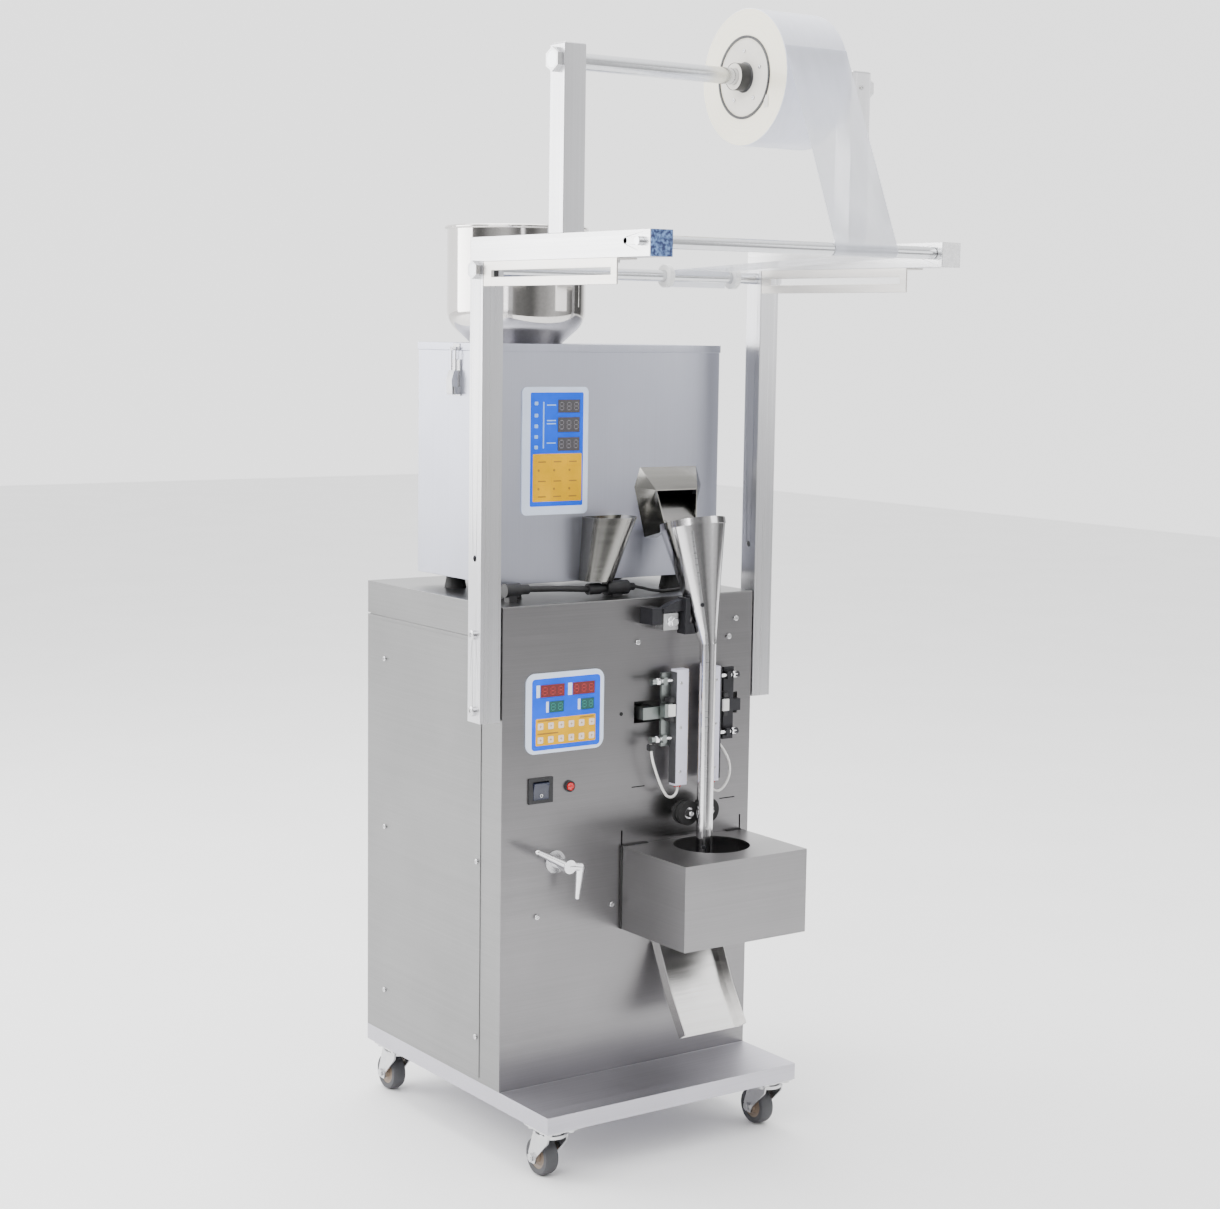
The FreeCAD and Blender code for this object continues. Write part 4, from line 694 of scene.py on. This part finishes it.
def weigher_keypad():
    """Blue field with three displays, lamps and lines above a block of yellow keys."""
    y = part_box("weigher_casing")[0].y - PLATE_DEPTH
    x0, z0 = -136.0, 832.0
    panel_part("weigher_field", [(x0 + 12, x0 + 94, z0 + 11, z0 + 158)], y + 0.1 * MM, 0.3, "blue", 2)
    face = y - 0.2 * MM
    panel_part("weigher_yellow", [(x0 + 16, x0 + 92, z0 + 17, z0 + 79)], face, 0.2, "yellow", 1.5)
    for k, (low, high) in enumerate(((131.8, 148.7), (106.6, 126.0), (82.5, 100.0))):
        display("weight_%d" % k, *mm(x0 + 54, x0 + 88, z0 + low, z0 + high), face, 3, "grey")
    lamps = [(x0 + 18, x0 + 23.5, z0 + z - 2.4, z0 + z + 2.4) for z in (144, 128.5, 114.7, 101, 87.5)]
    panel_part("weigher_lamps", lamps, face, 0.5, "pale_blue", 1.2)
    lines = [(x0 + 31, x0 + 33, z0 + 86, z0 + 146)]
    lines += [(x0 + 37, x0 + 51, z0 + z, z0 + z + 1.6) for z in (141, 121, 117, 92)]
    panel_part("weigher_lines", lines, face, 0.12, "pale_blue", 0.5)
    cells = [(24 * i, z) for i in range(3) for z in (68.5, 43.5, 23.5)]
    keys = [(x0 + 21 + dx, x0 + 39 + dx, z0 + z - 5.5, z0 + z + 5.5) for dx, z in cells]
    dots = [(x0 + 23.5 + 24 * i, x0 + 26.5 + 24 * i, z0 + z - 1.5, z0 + z + 1.5)
            for i in range(3) for z in (57.5, 33.5)]
    panel_part("weigher_keys", keys, face - 0.2 * MM, 0.3, "yellow", 1.4)
    panel_part("weigher_key_dots", dots, face - 0.2 * MM, 0.2, "brown", 1.2)
    bars = [(x0 + 24 + dx, x0 + 36 + dx, z0 + z - 0.8, z0 + z + 0.8) for dx, z in cells]
    panel_part("weigher_key_marks", bars, face - 0.5 * MM, 0.12, "brown", 0.3)


control_keypad()
weigher_keypad()


# ---- casters ------------------------------------------------------------------------------
def caster(corner):
    """Tyre with a rounded tread on a moulded hub."""
    low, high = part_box("caster_wheel_" + corner)
    centre = (low + high) / 2
    r = (high.z - low.z) / 2
    hub_half = (high.x - low.x) / 2
    body = "wheel_" + corner
    bm = bmesh.new()
    half = 10 * MM
    flank = [(0.66, 0.86), (0.80, 1.0), (0.93, 0.94), (0.985, 0.66), (1.0, 0.28)]
    tread = [(r * a, -half * h) for a, h in flank] + [(r * a, half * h) for a, h in reversed(flank)]
    lathe(bm, tread, centre, (1, 0, 0), 64, True)
    wheel = piece("tyre_" + corner, bm, "tyre", body)
    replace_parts(wheel, "caster_wheel_" + corner)
    bm = bmesh.new()
    dish = [(3.1 * MM, hub_half), (7.6 * MM, hub_half), (8 * MM, hub_half - 0.5 * MM), (8.4 * MM, half * 0.72),
            (r * 0.50, half * 0.62), (r * 0.62, half * 0.80), (r * 0.665, half * 0.80)]
    hub = [(a, -h) for a, h in dish] + dish[::-1]
    lathe(bm, hub, centre, (1, 0, 0), 64, True)
    piece("hub_" + corner, bm, "hub", body)


for corner in CORNERS:
    caster(corner)


# ---- small fittings -----------------------------------------------------------------------
JAW_LOW, JAW_HIGH = mm(476, 625)      # ends of the nose and the insulation
WHEEL_X, WHEEL_Z = mm(91, 435)        # middle between the two pull wheels
WHEEL_OFFSET = 17 * MM


def push_button():
    """Domed red cap."""
    low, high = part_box("push_button")
    cx, cz, r = (low.x + high.x) / 2, (low.z + high.z) / 2, (high.x - low.x) / 2
    depth = high.y - low.y
    bm = bmesh.new()
    dome = [(r * math.sin(math.radians(a)), depth - 3 * MM * (1 - math.cos(math.radians(a))))
            for a in range(90, 0, -10)]
    lathe(bm, [(r * 0.8, 0), (r, 0.4 * MM)] + dome + [(0.0001, depth)], (cx, high.y, cz), (0, -1, 0), 48)
    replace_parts(piece("button_dome", bm, "red", "start_button"), "push_button")


def rocker_marks():
    """On and off marks of the rocker, as a bar and a ring."""
    low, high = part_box("rocker")
    cx, cz = (low.x + high.x) / 2, (low.z + high.z) / 2
    bm = bmesh.new()
    front_plate(bm, cx - 0.4 * MM, cx + 0.4 * MM, cz + 3.6 * MM, cz + 8 * MM, low.y + 2.6 * MM, 0.5 * MM)
    lathe(bm, [mm(1.6, 0), mm(2.2, 0), mm(2.2, 0.6), mm(1.6, 0.6)],
          (cx, low.y + 2.6 * MM, cz - 6 * MM), (0, -1, 0), 32, True)
    piece("rocker_marks", bm, "white", "switch_rocker")


def jaw_details(side):
    """Clamp blocks, pins with nuts, bar screws, nose, insulation and wire ends of one jaw."""
    tag = "_left" if side < 0 else "_right"
    body = "jaw" + tag
    bar_low, bar_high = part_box("seal_bar" + tag)
    cx = (bar_low.x + bar_high.x) / 2
    inner, outer = (bar_high.x, bar_low.x) if side < 0 else (bar_low.x, bar_high.x)
    bm = bmesh.new()
    for z in (bar_low.z + 18 * MM, (bar_low.z + bar_high.z) / 2, bar_high.z - 18 * MM):
        screw_head(bm, (cx + side * 4 * MM, bar_low.y, z), (0, -1, 0), 2.2 * MM, 0.9 * MM)
    piece("bar_screws" + tag, bm, "screw", body)
    bm = bmesh.new()
    a, b = sorted((inner, inner + side * 3.1 * MM))
    box_points(bm, (a - 0.05 * MM, -23.2 * MM, JAW_LOW), (b + 0.05 * MM, -16.8 * MM, JAW_HIGH))
    piece("bar_nose" + tag, bm, "brass", body)
    bm = bmesh.new()
    a, b = sorted((outer + side * 1.6 * MM, outer - side * 0.3 * MM))
    box_points(bm, (a, -27.4 * MM, JAW_LOW), (b, -14 * MM, JAW_HIGH))
    piece("bar_insulation" + tag, bm, "insulation", body)
    bm = bmesh.new()
    a, b = sorted((outer + side * 3 * MM, outer + side * 13 * MM))
    box_points(bm, (a, -30 * MM, 567 * MM), (b, -26.5 * MM, 583 * MM))
    piece("clamp_white" + tag, bm, "white", body)
    bm = bmesh.new()
    for z in mm(563.5, 588.5):
        box_points(bm, (a + 1 * MM, -29 * MM, z - 3.5 * MM), (b - 1 * MM, -16.2 * MM, z + 3.5 * MM))
    piece("clamp_black" + tag, bm, "black", body)
    bm = bmesh.new()
    nut = [mm(2.5, 0), mm(4.4, 0), mm(4.8, 0.8), mm(4.8, 5.6), mm(4.4, 6.4), mm(2.5, 6.4)]
    pin = [mm(2.62, 0.2), mm(2.62, 21)]
    for z in mm(537, 614):
        lathe(bm, nut, (outer + side * 24 * MM, -21 * MM, z), (side, 0, 0), 6, True)
        lathe(bm, pin, (outer + side * 0.5 * MM, -21 * MM, z), (side, 0, 0), 24)
    piece("pin_nuts" + tag, bm, "chrome", body)
    bm = bmesh.new()
    foot = Vector((cx + side * 4 * MM, bar_low.y + 3 * MM, bar_low.z))
    for k in range(3):
        wire_at = foot + Vector((side * (k - 1) * 3.2 * MM, 1.2 * MM * k, -1.2 * MM))
        lathe(bm, [mm(0.9, -2), mm(1.1, 0), mm(0.9, 2)], wire_at, (0.6 * side, 0.1, -0.8), 16)
    piece("wire_ends" + tag, bm, "copper_red", body)


def lead_clip():
    """Clip that holds the left heater lead where it leaves the carrier."""
    bm = bmesh.new()
    box_points(bm, (13.5 * MM, -25 * MM, 523 * MM), (22.5 * MM, -17 * MM, 531.4 * MM))
    piece("lead_clip", bm, "black", "jaw_left")


def pull_wheel_face(side):
    """Bright end screw and washer of a pull wheel."""
    tag = "_left" if side < 0 else "_right"
    x = WHEEL_X + side * WHEEL_OFFSET
    bm = bmesh.new()
    screw_head(bm, (x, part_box("pull_wheel" + tag)[0].y, WHEEL_Z), (0, -1, 0), 3.6 * MM, 1.6 * MM)
    washer = [mm(5.02, 0), mm(7.5, 0), mm(7.5, 1.2), mm(5.02, 1.2)]
    lathe(bm, washer, (x, -32.6 * MM, WHEEL_Z), (0, -1, 0), 32, True)
    piece("pull_wheel_screw" + tag, bm, "screw", "pull" + tag)


def tube_strip():
    """Seam strip down the front left of the forming tube and its funnel, with two black screws."""
    low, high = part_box("forming_tube")
    tube = Vector(((low.x + high.x) / 2, -45 * MM, 0))
    bend = tube + Vector((0, 0, 663 * MM))
    lean = math.radians(14)
    axis = Vector((0, math.sin(lean), math.cos(lean)))
    way = Vector((-0.62, -0.78, 0)).normalized()
    across = Vector((way.y, -way.x, 0))
    uphill = (way - axis * way.dot(axis)).normalized()
    line = [tube + Vector((0, 0, z)) + way * (11.1 * MM) for z in mm(352, 430, 520, 600, 650)]
    line += [bend + axis * (s * MM) + uphill * ((11.2 + 32 * s / 154) * MM) for s in (12, 34, 50, 80, 120, 146)]
    half = 1.6 * MM
    bm = bmesh.new()
    rows = []
    for p in line:
        raised = p + way * 0.5 * MM
        rows.append([bm.verts.new(p - across * half), bm.verts.new(raised - across * half * 0.8),
                     bm.verts.new(raised + across * half * 0.8), bm.verts.new(p + across * half)])
    for a, b in zip(rows, rows[1:]):
        for i in range(4):
            j = (i + 1) % 4
            bm.faces.new((a[i], a[j], b[j], b[i]))
    bm.faces.new(rows[0])
    bm.faces.new(rows[-1])
    piece("forming_tube_strip", bm, "machined", "machine")
    bm = bmesh.new()
    for p in (line[0] + Vector((0, 0, 40 * MM)), line[7]):
        screw_head(bm, p + way * 0.3 * MM, way, 3.0 * MM, 1.8 * MM)
    piece("forming_tube_screws", bm, "black_metal", "machine")


def panel_screws():
    """Socketed heads over the plain CAD heads of the visible screws, and near-black plates on the panel face
    painted as the shade inside its two slots and hole.
    """
    bm = bmesh.new()
    for x, z in ((8.4, 665.0), (171.0, 687.0), (159.6, 663.0), (-27.3, 318.0), (-145.5, 317.0)):
        screw_head(bm, (x * MM, -2.1 * MM, z * MM), (0, -1, 0), 3.7 * MM, 1.3 * MM)
    for y, z in ((299, 620), (298, 386), (298, 154), (56, 620), (56, 386), (56, 152)):
        screw_head(bm, (-202.5 * MM, y * MM, z * MM), (-1, 0, 0), 3.5 * MM, 1.0 * MM)
    for s in (-1, 1):
        for z in (592, 689):
            screw_head(bm, (s * 236.9 * MM, 15 * MM, z * MM), (s, 0, 0), 6.4 * MM, 1.5 * MM)
    screw_head(bm, (218 * MM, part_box("roll_posts")[0].y, 1379 * MM), (0, -1, 0), 3.2 * MM, 1.4 * MM)
    piece("panel_screw_heads", bm, "screw", "machine")
    # thin near-black plates just proud of the panel face: painted shade for the two slots and the hole
    bm = bmesh.new()
    for x0, x1, z in ((3, 24, 471), (150, 176, 440)):
        box_points(bm, (x0 * MM, -0.35 * MM, z * MM), (x1 * MM, 0.1 * MM, (z + 1.4) * MM))
    lathe(bm, [mm(2.6, 0), mm(2.6, 0.4), mm(0.1, 0.4)], (-15.6 * MM, 0, 571.5 * MM), (0, -1, 0), 24)
    piece("panel_slot_painted_shade", bm, "painted_slot_shade", "machine")


def guard_trim():
    """Black edging round the guard's open back, just in front of the panel."""
    low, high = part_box("guard_cover")
    panel_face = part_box("front_panel")[0].y
    y0, y1 = panel_face - 4.5 * MM, panel_face - 0.4 * MM
    top = high.z + 0.9 * MM
    bm = bmesh.new()
    box_points(bm, (low.x - 0.8 * MM, y0, low.z), (low.x + 0.6 * MM, y1, top))
    box_points(bm, (low.x, y0, high.z - 0.4 * MM), (low.x + 42 * MM, y1, top))
    box_points(bm, (high.x - 26 * MM, y0, high.z - 0.4 * MM), (high.x - 1 * MM, y1, top))
    piece("guard_edging", bm, "rubber", "guard")


def bracket_bolt():
    """Bright hexagon bolt and washer on the photo eye's holder."""
    low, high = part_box("photo_eye")
    at = ((low.x + high.x) / 2, low.y, (low.z + high.z) / 2)
    bm = bmesh.new()
    lathe(bm, [mm(7.2, 0), mm(7.6, 0.4), mm(7.6, 1.2), mm(7.2, 1.6)], at, (0, -1, 0), 40)
    lathe(bm, [mm(5.6, 1.6), mm(6.2, 2.2), mm(6.2, 6.0), mm(5.4, 6.8)], at, (0, -1, 0), 6)
    piece("bracket_bolt", bm, "chrome", "machine", crease=20)


def post_block():
    """Black cable tie block near the top of the left post, with a white patch on its front that is a painted
    highlight.
    """
    x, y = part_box("lower_posts")[0].xy
    bm = bmesh.new()
    box_points(bm, (x + 1 * MM, y - 5 * MM, 1126 * MM), (x + 20 * MM, y + 0.1 * MM, 1150 * MM))
    piece("post_block", bm, "black", "machine")
    # white patch on the block's front: a painted highlight in white plastic, standing in for light caught by
    # the block
    bm = bmesh.new()
    box_points(bm, (x + 4 * MM, y - 6 * MM, 1131 * MM), (x + 12 * MM, y - 4.9 * MM, 1145 * MM))
    piece("post_block_painted_highlight", bm, "white", "machine")


def motor_fins():
    """Cooling ribs on the drive motor behind the panels."""
    fin = [mm(37.9, 0), mm(40.5, 0.4), mm(40.5, 2.2), mm(37.9, 2.6)]
    bm = bmesh.new()
    for k in range(9):
        lathe(bm, fin, mm(91, 226 + 9 * k, 240), (0, 1, 0), 48, True)
    piece("motor_fins", bm, "casting", "machine")


def inlet_pins():
    """Three flat contacts inside the mains inlet."""
    bm = bmesh.new()
    for x, z in ((-147, 151), (-140, 154), (-133, 151)):
        box_points(bm, mm(x - 0.8, 334, z - 2), mm(x + 0.8, 346, z + 2))
    piece("inlet_pins", bm, "brass", "machine")


def hopper_seam():
    """Fine welded seam down the hopper's straight wall."""
    low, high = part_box("hopper")
    cx, cy = (low.x + high.x) / 2, (low.y + high.y) / 2
    r = (high.x - low.x) / 2 - 3 * MM
    foot, top = 1100 * MM, high.z - 6 * MM
    a = math.radians(-60)
    out = Vector((math.cos(a), math.sin(a), 0))
    side = Vector((-math.sin(a), math.cos(a), 0))
    p = Vector((cx + r * math.cos(a), cy + r * math.sin(a), 0))
    rng = random.Random(5)
    bm = bmesh.new()
    rows = []
    for k in range(40):
        z = foot + (top - foot) * k / 39
        swell = (0.25 + 0.12 * rng.random()) * MM
        rows.append([bm.verts.new(p + Vector((0, 0, z)) + side * s * MM * 1.1 + out * o)
                     for s, o in ((-1, -0.1 * MM), (-0.4, swell), (0.4, swell), (1, -0.1 * MM))])
    for low_row, high_row in zip(rows, rows[1:]):
        for i in range(3):
            bm.faces.new((low_row[i], low_row[i + 1], high_row[i + 1], high_row[i]))
    piece("hopper_seam", bm, "mirror", "machine")


push_button()
rocker_marks()
for jaw_side in (-1, 1):
    jaw_details(jaw_side)
    pull_wheel_face(jaw_side)
lead_clip()
tube_strip()
panel_screws()
guard_trim()
bracket_bolt()
post_block()
motor_fins()
inlet_pins()
hopper_seam()


# ---- studio -------------------------------------------------------------------------------
# strength of the surroundings by azimuth in degrees, 0 in front of the machine and 90 to its right
SURROUND = ((-180, 2.3), (-142, 2.5), (-130, 1.5), (-118, 0.40), (-95, 0.18), (-70, 0.50), (-50, 0.80),
            (-30, 0.25), (-8, 0.18), (12, 0.52), (35, 0.85), (55, 0.62), (75, 0.16), (100, 0.12),
            (112, 0.85), (126, 2.2), (180, 2.3))
PEAK = 2.5


def surround(tree, background):
    """White cyclorama behind the machine, dark flags and a soft front light round the camera side."""
    place = tree.nodes.new("ShaderNodeTexCoord")
    split = tree.nodes.new("ShaderNodeSeparateXYZ")
    tree.links.new(place.outputs["Generated"], split.inputs["Vector"])
    front = tree.nodes.new("ShaderNodeMath")
    front.operation = "MULTIPLY"
    front.inputs[1].default_value = -1.0
    tree.links.new(split.outputs["Y"], front.inputs[0])
    angle = tree.nodes.new("ShaderNodeMath")
    angle.operation = "ARCTAN2"
    tree.links.new(split.outputs["X"], angle.inputs[0])
    tree.links.new(front.outputs["Value"], angle.inputs[1])
    turn = tree.nodes.new("ShaderNodeMapRange")
    turn.inputs["From Min"].default_value = -math.pi
    turn.inputs["From Max"].default_value = math.pi
    tree.links.new(angle.outputs["Value"], turn.inputs["Value"])
    colours = tree.nodes.new("ShaderNodeValToRGB")
    colours.color_ramp.interpolation = "EASE"
    stops = colours.color_ramp.elements
    while len(stops) < len(SURROUND):
        stops.new(0.5)
    for stop, (degrees, strength) in zip(stops, SURROUND):
        stop.position = degrees / 360 + 0.5
        tone = strength / PEAK
        stop.color = (tone, tone, tone, 1)
    tree.links.new(turn.outputs["Result"], colours.inputs["Fac"])
    overhead = tree.nodes.new("ShaderNodeMapRange")
    overhead.inputs["From Min"].default_value = 0.35
    overhead.inputs["From Max"].default_value = 0.8
    tree.links.new(split.outputs["Z"], overhead.inputs["Value"])
    mix = tree.nodes.new("ShaderNodeMix")
    mix.data_type = "RGBA"
    mix.inputs["B"].default_value = (0.95, 0.95, 0.95, 1)
    tree.links.new(overhead.outputs["Result"], mix.inputs["Factor"])
    tree.links.new(colours.outputs["Color"], mix.inputs["A"])
    tree.links.new(mix.outputs["Result"], background.inputs["Color"])
    background.inputs["Strength"].default_value = PEAK


FLOOR_HALF, FLOOR_NEAR, FLOOR_FAR = 8.0, -1.9, 12.0
FLOOR_Z = -0.0005
LIGHTS = (("key", (-2.6, -1.4, 2.6), 2.0, 75), ("fill", (2.6, -2.4, 1.6), 1.6, 16),
          ("top", (0.0, 1.0, 3.6), 2.4, 110), ("left_back", (-3.0, 2.4, 1.7), 2.4, 130))
AIM = Vector((0, 0, 0.75))


def studio():
    """Pale floor, surroundings and four square area lights aimed at the machine's middle."""
    bm = bmesh.new()
    outline = ((-FLOOR_HALF, FLOOR_NEAR), (FLOOR_HALF, FLOOR_NEAR),
               (FLOOR_HALF, FLOOR_FAR), (-FLOOR_HALF, FLOOR_FAR))
    bm.faces.new([bm.verts.new((x, y, FLOOR_Z)) for x, y in outline])
    mesh = bpy.data.meshes.new("studio_floor")
    bm.to_mesh(mesh)
    bm.free()
    mat, tree, bsdf = shader("studio_paper", (0.93, 0.93, 0.93), 0.8)
    tree.links.new(ramp(tree, noise(tree, 3.0), 0.92, 0.94), bsdf.inputs["Base Color"])
    mesh.materials.append(mat)
    floor = bpy.data.objects.new("studio_floor", mesh)
    bpy.context.scene.collection.objects.link(floor)
    world = bpy.data.worlds.new("studio")
    bpy.context.scene.world = world
    world.use_nodes = True
    tree = world.node_tree
    background = tree.nodes["Background"]
    surround(tree, background)
    for name, at, size, power in LIGHTS:
        lamp = bpy.data.lights.new(name, "AREA")
        lamp.shape = "SQUARE"
        lamp.size = size
        lamp.energy = power
        o = bpy.data.objects.new(name, lamp)
        bpy.context.scene.collection.objects.link(o)
        o.location = at
        o.rotation_mode = "QUATERNION"
        o.rotation_quaternion = (AIM - Vector(at)).to_track_quat("-Z", "Y")


studio()
